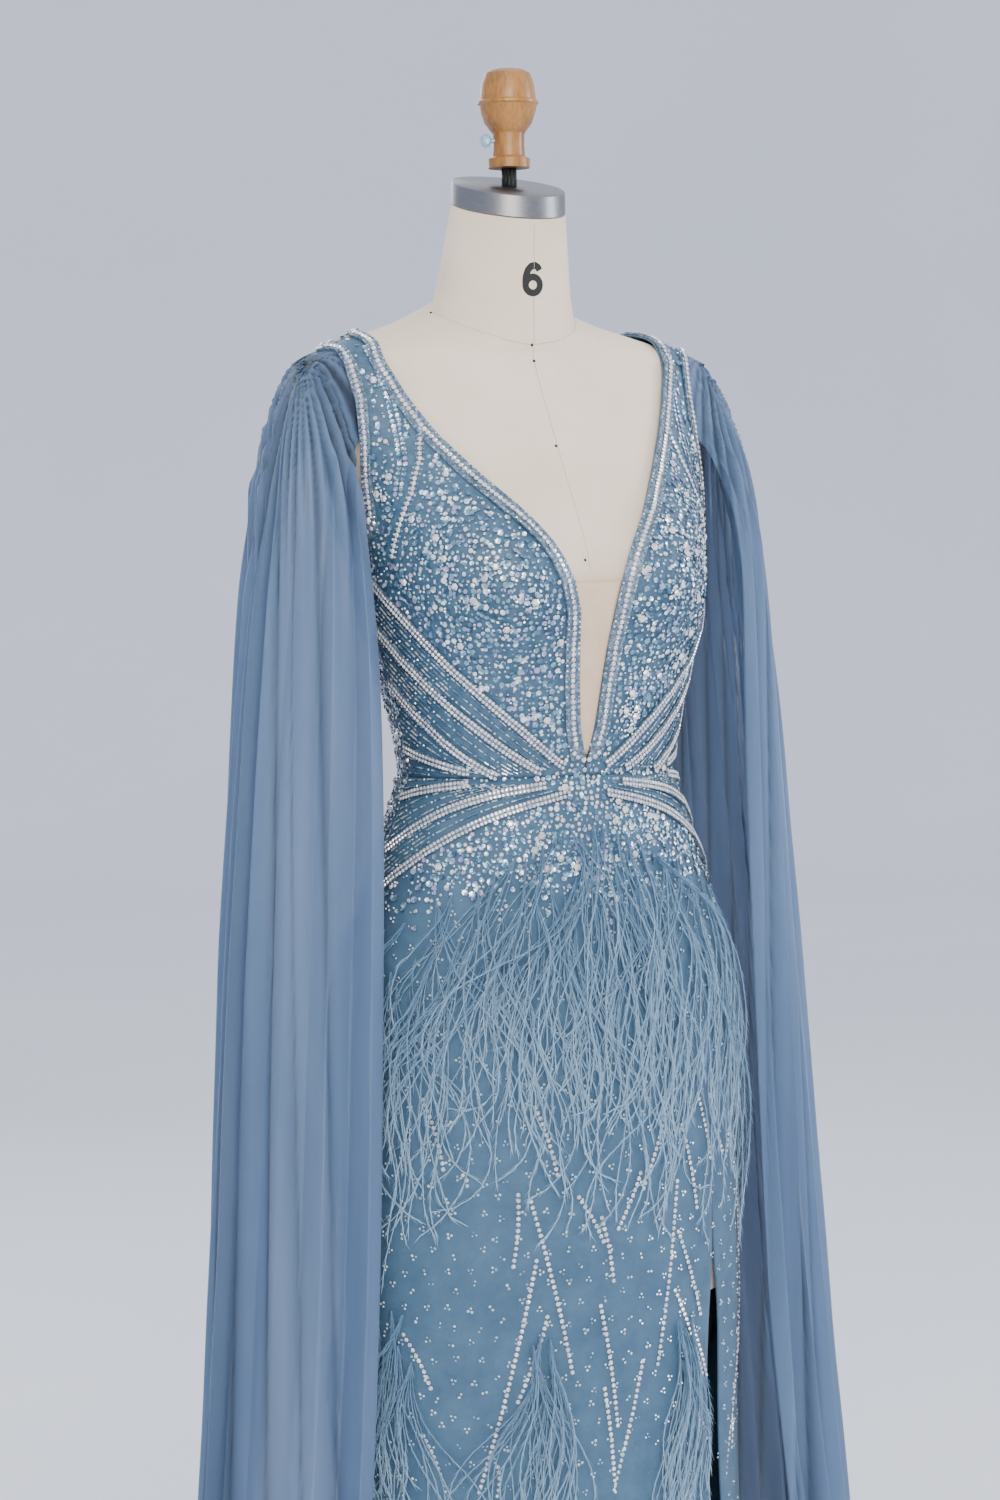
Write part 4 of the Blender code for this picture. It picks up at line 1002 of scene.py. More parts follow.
@dataclass
class ClothShell:
    """A cloth piece on its CAD solid's form: the same wall, rounded off, with creases moved into its mesh.

    Flat and area are the sheet's cut size in metres and square metres. Crease gives the move of a point, and
    fold how much painted shade the pleats lay on it there. Merge_within is in metres, and the angles are in
    degrees.
    """

    node: str
    finish: Cloth
    slot: str
    flat: tuple[float, float]
    area: float
    held: Held
    rests_on: str
    levels: int = 2
    crease: Callable[[Vector], Vector] = lambda point: Vector()
    fold: Optional[Callable[[Vector], float]] = None
    merge_within: float = 0.02 * MM
    flat_below: float = 50.0
    quad_shape: float = 70.0

    def build(self, piece_name: str) -> bpy.types.Object:
        """Args:
            piece_name: The piece's name.

        Returns:
            The piece.
        """
        bm = bmesh.new()
        bm.from_mesh(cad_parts[self.node].data)
        bmesh.ops.remove_doubles(bm, verts=bm.verts, dist=self.merge_within)
        bmesh.ops.join_triangles(bm, faces=bm.faces, angle_face_threshold=math.radians(self.flat_below),
                                 angle_shape_threshold=math.radians(self.quad_shape), cmp_seam=False)
        sharp = bm.edges.layers.float.new("crease_edge")
        for edge in bm.edges:
            if len(edge.link_faces) == 2 and edge.calc_face_angle() > math.radians(self.flat_below):
                edge[sharp] = 1.0
        mesh = bpy.data.meshes.new(piece_name)
        bm.to_mesh(mesh)
        bm.free()
        item = new_object(f"{piece_name}_form", mesh)
        rounding = item.modifiers.new("rounding", "SUBSURF")
        rounding.levels = self.levels
        rounding.render_levels = self.levels
        piece = baked(item, piece_name)
        # The fold attribute carries the painted shade of the pleats and gathers to the material
        if self.fold:
            depths = [self.fold(vertex.co) for vertex in piece.data.vertices]
            piece.data.attributes.new("fold", "FLOAT", "POINT").data.foreach_set("value", depths)
        for vertex in piece.data.vertices:
            vertex.co += self.crease(vertex.co)
        piece.data.materials.clear()
        piece.data.materials.append(self.finish.material())
        piece.data.shade_smooth()
        keep(piece, (self.node,))
        return piece


@dataclass(frozen=True)
class Fold:
    """One soft fold: a ridge along a slanting line round the figure.

    Its top stands at the angle and height, and from there it slants over its length. Angle, slant and width
    are in degrees; height, length and rise are in metres.
    """

    angle: float
    height: float
    slant: float
    length: float
    width: float
    rise: float

    def at(self, angle: float, height: float) -> float:
        """How far the fold lifts the cloth at a place.

        Args:
            angle: Degrees round the figure from the front.
            height: Metres above the floor.

        Returns:
            The lift in metres.
        """
        down = (self.height - height) / self.length
        if not 0.0 < down < 1.0:
            return 0.0
        middle = self.angle + self.slant * down
        across = (((angle - middle + 180.0) % 360.0) - 180.0) / self.width
        return self.rise * math.exp(-across * across) * math.sin(math.pi * down)


def outward(point: Vector) -> Vector:
    """The level direction away from the figure's middle line."""
    return Vector((point.x, point.y - FIGURE_AXIS_Y, 0.0)).normalized()


def radius_of(point: Vector) -> float:
    """Metres from the figure's middle line to a point."""
    return math.hypot(point.x, point.y - FIGURE_AXIS_Y)


@dataclass
class Skirt:
    """The skirt's four panels with their creases, scattered beads and stone chains.

    Lengths and heights are in metres, and angles in degrees round the figure from the front.
    """

    ground: Ground
    camera: PhotoCamera
    shapes: BeadShapes

    # The panels: node, cut width and length, and cut area in square metres
    panels: tuple[tuple[str, tuple[float, float], float], ...] = (
        ("skirt_front", (0.66, 1.10), 0.45), ("skirt_side_front", (0.26, 1.10), 0.18),
        ("skirt_back_left", (0.40, 1.10), 0.30), ("skirt_back_right", (0.40, 1.10), 0.30),
    )

    # Clusters of seed beads, in uneven rows from the yoke to just above the hem
    bead_size: float = 0.0028
    bead_lift: float = 0.6 * MM
    cluster_pitch: float = 0.0185
    cluster_radius: float = 0.0021
    along_row: float = 1.06
    between_rows: float = 0.86
    top_row: float = 0.985
    bare_hem: float = 0.012
    row_shift: float = 3.0
    uneven_angle: float = 1.3
    uneven_height: float = 0.005
    gap_radius: float = 0.15
    bare_strip: tuple[float, float] = (46.0, 56.0)

    # Creases: angle, top height, slant, length, width and rise
    folds: tuple[Fold, ...] = (
        Fold(-58.0, 0.86, 14.0, 0.34, 5.0, 0.0016), Fold(-30.0, 0.80, -8.0, 0.42, 4.5, 0.0012),
        Fold(8.0, 0.72, 6.0, 0.36, 4.0, 0.0014), Fold(28.0, 0.84, -6.0, 0.30, 4.5, 0.0013),
        Fold(62.0, 0.80, 9.0, 0.34, 5.0, 0.0015), Fold(104.0, 0.84, -10.0, 0.38, 5.0, 0.0016),
        Fold(138.0, 0.76, 8.0, 0.34, 4.5, 0.0014), Fold(172.0, 0.82, -7.0, 0.40, 4.5, 0.0013),
        Fold(205.0, 0.74, 9.0, 0.36, 5.0, 0.0015), Fold(243.0, 0.84, -9.0, 0.34, 4.5, 0.0014),
        Fold(-20.0, 0.50, 5.0, 0.46, 4.0, 0.0022), Fold(22.0, 0.52, -4.0, 0.48, 3.6, 0.0020),
        Fold(75.0, 0.50, 5.0, 0.46, 4.0, 0.0022), Fold(118.0, 0.53, 4.0, 0.48, 3.8, 0.0020),
        Fold(160.0, 0.49, -5.0, 0.45, 4.0, 0.0022), Fold(214.0, 0.52, 5.0, 0.48, 3.8, 0.0020),
        Fold(258.0, 0.50, -4.0, 0.46, 4.0, 0.0022), Fold(-66.0, 0.50, 4.0, 0.46, 4.0, 0.0020),
    )
    crumple_rise: float = 0.0007

    # Stone chains as they lie in the photograph: first and last x and y in pixels
    chains: tuple[tuple[float, float, float, float], ...] = (
        (422, 1097, 444, 1174), (461, 1173, 467, 1188), (534, 1105, 558, 1177), (577, 1195, 604, 1243),
        (601, 1215, 614, 1286), (518, 1192, 513, 1268), (530, 1199, 573, 1377), (537, 1258, 478, 1500),
        (548, 1314, 516, 1407), (497, 1464, 497, 1500), (600, 1303, 618, 1431), (604, 1386, 615, 1500),
        (643, 1358, 612, 1495), (641, 1170, 618, 1229), (669, 1094, 642, 1192), (681, 1122, 697, 1212),
        (677, 1178, 657, 1366), (677, 1229, 700, 1315), (674, 1288, 702, 1375), (402, 1332, 433, 1394),
        (422, 1433, 447, 1500), (728, 1125, 724, 1160),
    )

    # Chains where the photograph doesn't reach: turned round to the hidden sides, and again lower down
    lowest_pixel: float = 1496.0
    hidden_turns: tuple[float, ...] = (112.0, 205.0)
    lower_turns: tuple[float, ...] = (0.0, 95.0, 190.0)
    lower_drop: float = 0.37
    lower_from: float = 0.73
    lower_bare_hem: float = 0.02

    chain_pitch: float = 0.0053
    chain_lift: float = 0.5 * MM
    chain_bow: float = 0.8
    chain_steps: int = 60
    stone_size: float = 0.0046

    def crease(self, point: Vector) -> Vector:
        """The soft creases of the skirt at a point.

        Args:
            point: A point of the cloth.

        Returns:
            How far it moves.
        """
        angle = angle_of(point)
        lift = sum(fold.at(angle, point.z) for fold in self.folds)
        crumple = noise.noise(Vector((point.x * 26.0, point.y * 26.0, point.z * 9.0)))
        seam = smoothstep(WAIST, WAIST - 0.03, point.z)
        return outward(point) * (lift + self.crumple_rise * crumple * seam)

    def build(self) -> None:
        """Makes the panels and all that is sewn on them."""
        for node, flat, area in self.panels:
            shell = ClothShell(node, CREPE, "skirt_cloth", flat, area, Held.HUNG, "form_torso", 2,
                               self.crease)
            shell.build(f"{node}_crepe")
        self.scatter()
        self.lay_chains()

    def scatter(self) -> None:
        """Sews small bead clusters all over the skirt in uneven rows, but for a strip along the slit."""
        chance = random.Random(SEED)
        front = BeadWork(Bead.ROUND, SEED_BEAD)
        back = BeadWork(Bead.ROUND, SEED_BEAD)
        height = self.top_row
        row = 0
        while height > HEM_HEIGHT + self.bare_hem:
            angle = -180.0 + (row % 2) * self.row_shift
            while angle < 180.0:
                spot = self.ground.around(angle + chance.uniform(-self.uneven_angle, self.uneven_angle),
                                          height + chance.uniform(-self.uneven_height, self.uneven_height))
                radius = self.gap_radius
                bare = height < SLIT_TOP and self.bare_strip[0] < angle < self.bare_strip[1]
                if spot:
                    radius = radius_of(spot.point)
                    if not bare:
                        self.cluster(front if abs(angle) < 90.0 else back, spot, chance)
                angle += math.degrees(self.cluster_pitch * self.along_row / radius)
            height -= self.cluster_pitch * self.between_rows
            row += 1
        front.sew("skirt_beads_front", self.shapes)
        back.sew("skirt_beads_back", self.shapes)

    def cluster(self, work: BeadWork, spot: Spot, chance: random.Random) -> None:
        """Adds a small triangle of beads, sometimes only two.

        Args:
            work: Takes the beads.
            spot: The cluster's middle on the cloth.
            chance: The skirt's own chances.
        """
        across = spot.normal.cross(UP).normalized()
        turn = chance.uniform(0.0, math.tau)
        for k in range(chance.choice((2, 3, 3))):
            lean = turn + k * math.tau / 3.0
            shift = (across * math.cos(lean) + UP * math.sin(lean)) * self.cluster_radius
            size = self.bead_size * chance.uniform(0.8, 1.2)
            work.add(spot.out(self.bead_lift) + shift, spot.normal, across, size)

    def chain_ends(self) -> list[tuple[float, float, float, float]]:
        """Every chain by its ends: the photograph's, and similar ones on the hidden sides and lower down.

        Returns:
            Rows of first angle, first height, last angle and last height.
        """
        ends = []
        front = Ground(("skirt_front", "skirt_side_front"))
        for x_1, y_1, x_2, y_2 in self.chains:
            first = front.along(*self.camera.ray(x_1, y_1))
            last = front.along(*self.camera.ray(x_2, min(y_2, self.lowest_pixel)))
            if first and last:
                ends.append((angle_of(first.point), first.point.z, angle_of(last.point), last.point.z))
        chance = random.Random(SEED + 1)
        hidden = []
        for a, h, b, i in ends:
            for turn in self.hidden_turns:
                drop = chance.uniform(-0.03, 0.02)
                hidden.append((a + turn, h + drop, b + turn, i + drop))
        lower = []
        for a, h, b, i in ends:
            if h < self.lower_from and i - self.lower_drop > HEM_HEIGHT + self.lower_bare_hem:
                for turn in self.lower_turns:
                    lower.append((a + chance.uniform(-4.0, 4.0) + turn, h - self.lower_drop, b + turn,
                                  i - self.lower_drop))
        return ends + hidden + lower

    def lay_chains(self) -> None:
        """Lays each chain as a close row of stones, bowed a little."""
        work = BeadWork(Bead.RHINESTONE, RHINESTONE)
        for angle_1, height_1, angle_2, height_2 in self.chain_ends():
            path = []
            for k in range(self.chain_steps + 1):
                t = k / self.chain_steps
                bow = self.chain_bow * math.sin(math.pi * t)
                spot = self.ground.around(angle_1 + (angle_2 - angle_1) * t + bow,
                                          height_1 + (height_2 - height_1) * t)
                if spot:
                    path.append(spot)
            for spot, along in spaced(path, self.chain_pitch):
                work.add(spot.out(self.chain_lift), spot.normal, along, self.stone_size)
        work.sew("skirt_stone_chains", self.shapes, 0.08)


def spaced(path: Sequence[Spot], pitch: float, longest_step: float = 0.03) -> list[tuple[Spot, Vector]]:
    """Places at an even pitch along a path.

    Args:
        path: Places along it.
        pitch: Metres from one to the next.
        longest_step: The most metres between two places of the path that belong together.

    Returns:
        The places, each with the way the path runs there.
    """
    places = []
    travelled = pitch * 0.5
    for a, b in zip(path, path[1:]):
        step = (b.point - a.point).length
        if not 1e-6 <= step <= longest_step:
            continue
        along = (b.point - a.point) / step
        while travelled <= step:
            t = travelled / step
            places.append((Spot(a.point.lerp(b.point, t), a.normal.lerp(b.normal, t).normalized()), along))
            travelled += pitch
        travelled -= step
    return places


# Bodice

@dataclass(frozen=True)
class Slice:
    """A cut across a band: its middle on top, the way it runs, the way it faces and its half width."""

    spot: Spot
    along: Vector
    across: Vector
    half_width: float


@dataclass
class BandWalker:
    """Walks along a frame band from one end to the other and measures it as it goes, in metres."""

    node: str
    form: Ground
    step: float
    end_reach: float = 0.035
    inset: float = 0.0015
    cut_reach: float = 0.016
    most_cuts: int = 400

    def slices(self) -> list[Slice]:
        """The band's cuts, from its lower or inner end on.

        Returns:
            The cuts in order.
        """
        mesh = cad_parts[self.node].data
        corners = [vertex.co for vertex in mesh.vertices]
        faces = [[corners[index] for index in face.vertices] for face in mesh.polygons]
        inner_end = self.node.startswith("midriff")
        start = min(corners, key=lambda point: abs(point.x) if inner_end else point.z)
        close = [point for point in corners if (point - start).length < self.end_reach]
        ahead = (sum(close, Vector()) / len(close) - start).normalized()
        middle = start + ahead * self.inset
        found: list[Slice] = []
        while len(found) < self.most_cuts:
            cut = self.cut(faces, middle, ahead)
            if not cut:
                break
            if found:
                ahead = (cut.spot.point - found[-1].spot.point).normalized()
            found.append(Slice(cut.spot, ahead, cut.across, cut.half_width))
            middle = cut.spot.point + ahead * self.step
        return found

    def cut(self, faces: Sequence[Sequence[Vector]], middle: Vector, ahead: Vector) -> Optional[Slice]:
        """Cuts the band in the plane across the walk.

        Args:
            faces: The corners of each of the band's faces.
            middle: A point of the plane near the band's middle.
            ahead: The way the walk goes.

        Returns:
            The cut, or None past the band's end.
        """
        points = []
        for face in faces:
            for a, b in zip(face, (*face[1:], face[0])):
                from_a = (a - middle).dot(ahead)
                from_b = (b - middle).dot(ahead)
                if (from_a > 0.0) != (from_b > 0.0):
                    point = a.lerp(b, from_a / (from_a - from_b))
                    if (point - middle).length < self.cut_reach:
                        points.append(point)
        if len(points) < 3:
            return None
        centre = sum(points, Vector()) / len(points)
        below = self.form.tree.find_nearest(centre)[0]
        facing = centre - below
        facing = (facing - ahead * facing.dot(ahead)).normalized()
        across = facing.cross(ahead).normalized()
        sides = [(point - centre).dot(across) for point in points]
        tops = [(point - centre).dot(facing) for point in points]
        spot = centre + across * 0.5 * (max(sides) + min(sides)) + facing * max(tops)
        return Slice(Spot(spot, facing), ahead, across, 0.5 * (max(sides) - min(sides)))


class Taken:
    """The places where something is sewn already, so that the loose beads keep off them."""

    def __init__(self) -> None:
        """Starts with no places."""
        self.points: list[Vector] = []
        self.tree: Optional[KDTree] = None

    def add(self, point: Vector) -> None:
        """Notes one place."""
        self.points.append(point.copy())

    def settle(self) -> None:
        """Sorts the places, once they are all known."""
        self.tree = KDTree(len(self.points))
        for index, point in enumerate(self.points):
            self.tree.insert(point, index)
        self.tree.balance()

    def near(self, point: Vector, reach: float) -> bool:
        """Whether something is sewn within reach of a point."""
        return self.tree.find(point)[2] < reach


@dataclass
class Bodice:
    """The bodice panels, the net in the V, the stone bands, the sequins and the rows of bugles.

    Sizes, pitches and heights are in metres.
    """

    ground: Ground
    form: Ground
    camera: PhotoCamera
    shapes: BeadShapes
    taken: Taken = field(default_factory=Taken)

    # The stone bands: one row of large stones or two rows of small ones, between seed beads
    stone: float = 0.0037
    large_stone: float = 1.35
    row_offset: float = 0.0021
    single_pitch: float = 1.30
    double_pitch: float = 1.02
    edge_bead: float = 0.0024
    edge_inset: float = 0.0013
    least_edge: float = 0.0014
    cup_band_half_width: float = 0.0046

    # The double row of sequins on each strap
    strap_sequin: float = 0.0048
    strap_pitch: float = 0.0046
    strap_offset: float = 0.0027

    # The rows between the midriff bands
    row_step: float = 0.0066
    tightest_row: float = 0.0042
    row_samples: int = 48
    bugle: float = 0.0052
    bugle_pitch: float = 0.0060
    dot: float = 0.0026

    # The loose sequins, stones and beads
    sequin_pitch: float = 0.0054
    between_rows: float = 0.88
    top_row: float = 1.464
    last_row: float = 0.93
    full_cover: float = 1.0
    thins_out: float = 0.925
    gap_radius: float = 0.12
    clearance: float = 0.0042
    bead_tilt: float = 0.22
    knot: Vector = field(default_factory=lambda: Vector((0.0, 0.0, WAIST - 0.012)))
    knot_radius: float = 0.042
    sequin_sizes: tuple[float, ...] = (0.0046, 0.0054, 0.0064)
    stone_sizes: tuple[float, ...] = (0.0034, 0.0042, 0.0050)
    bead_sizes: tuple[float, ...] = (0.0022, 0.0028, 0.0034)
    flower_stone: float = 0.0078
    flower_bead: float = 0.0030
    flower_radius: float = 0.0055
    petals: int = 6

    # The highest draw that gives a sequin, a stone and a flower, everywhere else and at the waist's knot
    draws: tuple[float, float, float] = (0.55, 0.65, 0.68)
    knot_draws: tuple[float, float, float] = (0.30, 0.75, 0.765)

    # The band that bounds the cup at the strap, as it lies in the photograph: x and y in pixels
    cup_band: tuple[tuple[float, float], ...] = (
        (417, 400), (419, 422), (420, 458), (412, 494), (399, 529), (391, 565),
    )

    # The two rows of sequins along the strap, as they lie in the photograph: x and y in pixels
    strap_row: tuple[tuple[float, float], ...] = (
        (366, 345), (376, 362), (388, 392), (397, 427), (403, 462), (398, 500),
    )

    def crease(self, point: Vector) -> Vector:
        """A slight unevenness from the weight of the beads."""
        return outward(point) * 0.0004 * noise.noise(point * 60.0)

    def build(self) -> None:
        """Makes the panels and all that is sewn on them."""
        for node in BODICE_NODES:
            flat, area = ((0.25, 0.42), 0.060) if "back" in node else ((0.27, 0.42), 0.066)
            shell = ClothShell(node, TULLE, "beaded_cloth", flat, area, Held.STRETCHED, "form_torso", 2,
                               self.crease)
            shell.build(f"{node}_tulle")
        net = ClothShell("plunge_insert", NET, "nude_mesh", (0.06, 0.17), 0.0045, Held.STRETCHED,
                         "form_torso")
        net.build("plunge_insert_net")
        self.dress_bands("neckline_stones", NECKLINE_BANDS, True)
        self.dress_bands("armhole_stones", ARMHOLE_BANDS, True)
        self.dress_bands("midriff_stones", MIDRIFF_BANDS, False)
        self.sew_strap_rows()
        self.bugle_rows()
        self.taken.settle()
        self.cover()

    def set_band(self, slices: Sequence[Slice], stones: BeadWork, dots: BeadWork, single: bool) -> None:
        """Sets one row of large stones or two rows of small ones along a band, with seed beads at its edges.

        Args:
            slices: The band's cuts, at the pitch of its stones.
            stones: Takes the stones.
            dots: Takes the seed beads.
            single: Whether the stones stand in one row.
        """
        rows = ((-self.row_offset, self.stone), (self.row_offset, self.stone))
        if single:
            rows = ((0.0, self.stone * self.large_stone),)
        for cut in slices:
            edge = max(self.least_edge, cut.half_width - self.edge_inset)
            self.taken.add(cut.spot.point)
            for shift, size in rows:
                stones.add(cut.spot.out(0.3 * MM) + cut.across * shift, cut.spot.normal, cut.along, size)
            for side in (-1.0, 1.0):
                dots.add(cut.spot.out(0.2 * MM) + cut.across * edge * side, cut.spot.normal, cut.along,
                         self.edge_bead)
                self.taken.add(cut.spot.point + cut.across * edge * side)

    def dress_bands(self, name: str, nodes: Sequence[str], single: bool) -> None:
        """Sets the stones of some bands as one piece of stones and one of seed beads.

        Args:
            name: The stones' name.
            nodes: The bands.
            single: Whether the stones stand in one row.
        """
        stones = BeadWork(Bead.RHINESTONE, RHINESTONE)
        dots = BeadWork(Bead.ROUND, SEQUIN)
        for node in nodes:
            pitch = self.stone * (self.single_pitch if single else self.double_pitch)
            self.set_band(BandWalker(node, self.form, pitch).slices(), stones, dots, single)
        stones.sew(name, self.shapes, 0.06)
        dots.sew(f"{name}_edges", self.shapes, 0.06)

    def traced(self, pixels: Sequence[tuple[float, float]], side: float,
               pitch: float) -> list[tuple[Spot, Vector]]:
        """Even places along a line of the photograph, on either side of the figure.

        Args:
            pixels: The line's x and y on the wearer's right.
            side: -1 for the wearer's right, and 1 for the line mirrored to the left.
            pitch: Metres from one place to the next.

        Returns:
            The places, each with the way the line runs there.
        """
        spots = [self.ground.along(*self.camera.ray(x, y)) for x, y in pixels]
        corners = [spot.point for spot in spots if spot]
        path = []
        for a, b in zip(corners, corners[1:]):
            for k in range(8):
                point = a.lerp(b, k / 8.0)
                point.x = abs(point.x) * side
                spot = self.ground.under(point)
                if spot:
                    path.append(spot)
        return spaced(path, pitch)

    def sew_strap_rows(self) -> None:
        """Sews the cup's outer band and the double row of sequins along each strap."""
        stones = BeadWork(Bead.RHINESTONE, RHINESTONE)
        dots = BeadWork(Bead.ROUND, SEQUIN)
        discs = BeadWork(Bead.SEQUIN, SEQUIN)
        for side in (-1.0, 1.0):
            slices = []
            for spot, along in self.traced(self.cup_band, side, self.stone * self.single_pitch):
                across = spot.normal.cross(along).normalized()
                top = Spot(spot.out(0.5 * MM), spot.normal)
                slices.append(Slice(top, along, across, self.cup_band_half_width))
            self.set_band(slices, stones, dots, True)
            for spot, along in self.traced(self.strap_row, side, self.strap_pitch):
                across = spot.normal.cross(along).normalized()
                for shift in (-self.strap_offset, self.strap_offset):
                    discs.add(spot.out(0.5 * MM) + across * shift, spot.normal, along, self.strap_sequin)
                    self.taken.add(spot.point + across * shift)
        stones.sew("cup_band_stones", self.shapes, 0.06)
        dots.sew("cup_band_edges", self.shapes, 0.06)
        discs.sew("strap_sequins", self.shapes, 0.08)

    def bugle_rows(self) -> None:
        """Lays rows of bugles between neighbouring midriff bands, fewer where the bands draw together."""
        bars = BeadWork(Bead.BUGLE, BUGLE)
        dots = BeadWork(Bead.ROUND, SEED_BEAD)
        for side in SIDES:
            lines = []
            for number in BAND_NUMBERS:
                cuts = BandWalker(f"midriff_band_{number}_{side}", self.form, 0.004).slices()
                lines.append([cut.spot.point for cut in cuts])
            for upper, lower in zip(lines, lines[1:]):
                self.fill_between(upper, lower, bars, dots)
        bars.sew("midriff_bugles", self.shapes, 0.10)
        dots.sew("midriff_dots", self.shapes, 0.15)

    def fill_between(self, upper: Sequence[Vector], lower: Sequence[Vector], bars: BeadWork,
                     dots: BeadWork) -> None:
        """Fills the wedge between two bands with rows of bugles, with a seed bead after every third.

        Args:
            upper: Points along the upper band, from the waist outwards.
            lower: Points along the lower band.
            bars: Takes the bugles.
            dots: Takes the seed beads.
        """
        rows = max(1, round((upper[-1] - lower[-1]).length / self.row_step))
        for number in range(1, rows):
            halvings = number & -number
            path = []
            for k in range(self.row_samples + 1):
                a = point_at(upper, k / self.row_samples)
                b = point_at(lower, k / self.row_samples)
                step = (a - b).length / rows * halvings
                spot = self.ground.under(a.lerp(b, number / rows))
                if spot and step > self.tightest_row:
                    path.append(spot)
            for index, (spot, along) in enumerate(spaced(path, self.bugle_pitch)):
                self.taken.add(spot.point)
                if (index + number) % 4 == 3:
                    dots.add(spot.out(0.8 * MM), spot.normal, along, self.dot)
                else:
                    bars.add(spot.out(0.7 * MM), spot.normal, along, self.bugle)

    def cover(self) -> None:
        """Covers the bodice and yoke with sequins, stones, seed beads and stone flowers."""
        chance = random.Random(SEED + 2)
        works = {Bead.SEQUIN: BeadWork(Bead.SEQUIN, SEQUIN),
                 Bead.RHINESTONE: BeadWork(Bead.RHINESTONE, RHINESTONE),
                 Bead.ROUND: BeadWork(Bead.ROUND, SEED_BEAD)}
        height = self.top_row
        row = 0
        while height > self.last_row:
            angle = -180.0 + row % 2
            while angle < 180.0:
                turn = angle + chance.uniform(-0.7, 0.7)
                spot = self.ground.around(turn, height + chance.uniform(-0.0016, 0.0016))
                radius = self.gap_radius
                if spot:
                    radius = radius_of(spot.point)
                    if not self.taken.near(spot.point, self.clearance):
                        self.sprinkle(works, spot, chance)
                angle += math.degrees(self.sequin_pitch / radius)
            height -= self.sequin_pitch * self.between_rows
            row += 1
        for kind, work in works.items():
            work.sew(f"bodice_{kind.value}s", self.shapes, 0.15)

    def sprinkle(self, works: dict[Bead, BeadWork], spot: Spot, chance: random.Random) -> None:
        """Adds one bead of a kind drawn by chance, with more stones at the waist's knot.

        Args:
            works: Takes the beads.
            spot: The place on the cloth.
            chance: The cover's own chances.
        """
        if chance.random() > smoothstep(self.thins_out, self.full_cover, spot.point.z):
            return
        flat = Vector((spot.point.x, 0.0, spot.point.z))
        at_knot = spot.point.y < 0.0 and (flat - self.knot).length < self.knot_radius
        sequins, stones, flowers = self.knot_draws if at_knot else self.draws
        draw = chance.random()
        spin = Vector([chance.uniform(-1.0, 1.0) for _ in range(3)]).normalized()
        tilt = (spot.normal + spin * self.bead_tilt).normalized()
        if draw < sequins:
            works[Bead.SEQUIN].add(spot.out(0.6 * MM), tilt, spin, chance.choice(self.sequin_sizes))
        elif draw < stones:
            works[Bead.RHINESTONE].add(spot.out(0.6 * MM), tilt, spin, chance.choice(self.stone_sizes))
        elif draw < flowers:
            self.flower(works, spot, chance)
        else:
            works[Bead.ROUND].add(spot.out(0.9 * MM), tilt, spin, chance.choice(self.bead_sizes))

    def flower(self, works: dict[Bead, BeadWork], spot: Spot, chance: random.Random) -> None:
        """Adds a large stone with seed beads round it.

        Args:
            works: Takes the stone and the beads.
            spot: The flower's middle on the cloth.
            chance: The cover's own chances.
        """
        across = spot.normal.cross(UP).normalized()
        up = across.cross(spot.normal)
        works[Bead.RHINESTONE].add(spot.out(1.4 * MM), spot.normal, across, self.flower_stone)
        turn = chance.uniform(0.0, math.tau)
        for k in range(self.petals):
            lean = turn + math.tau * k / self.petals
            shift = (across * math.cos(lean) + up * math.sin(lean)) * self.flower_radius
            works[Bead.ROUND].add(spot.out(1.1 * MM) + shift, spot.normal, across, self.flower_bead)


def add_line(curve: bpy.types.Curve, points: Sequence[Vector]) -> None:
    """Adds a line of straight steps to a curve.

    Args:
        curve: The curve.
        points: The line's points.
    """
    spline = curve.splines.new("POLY")
    spline.points.add(len(points) - 1)
    spline.points.foreach_set("co", [part for point in points for part in (*point, 1.0)])


def point_at(points: Sequence[Vector], share: float) -> Vector:
    """The point at a share of the way along a line of evenly spaced points.

    Args:
        points: The line's points.
        share: From 0 at its start to 1 at its end.

    Returns:
        The point.
    """
    place = share * (len(points) - 1)
    index = min(int(place), len(points) - 2)
    return points[index].lerp(points[index + 1], place - index)


# Cape sleeves

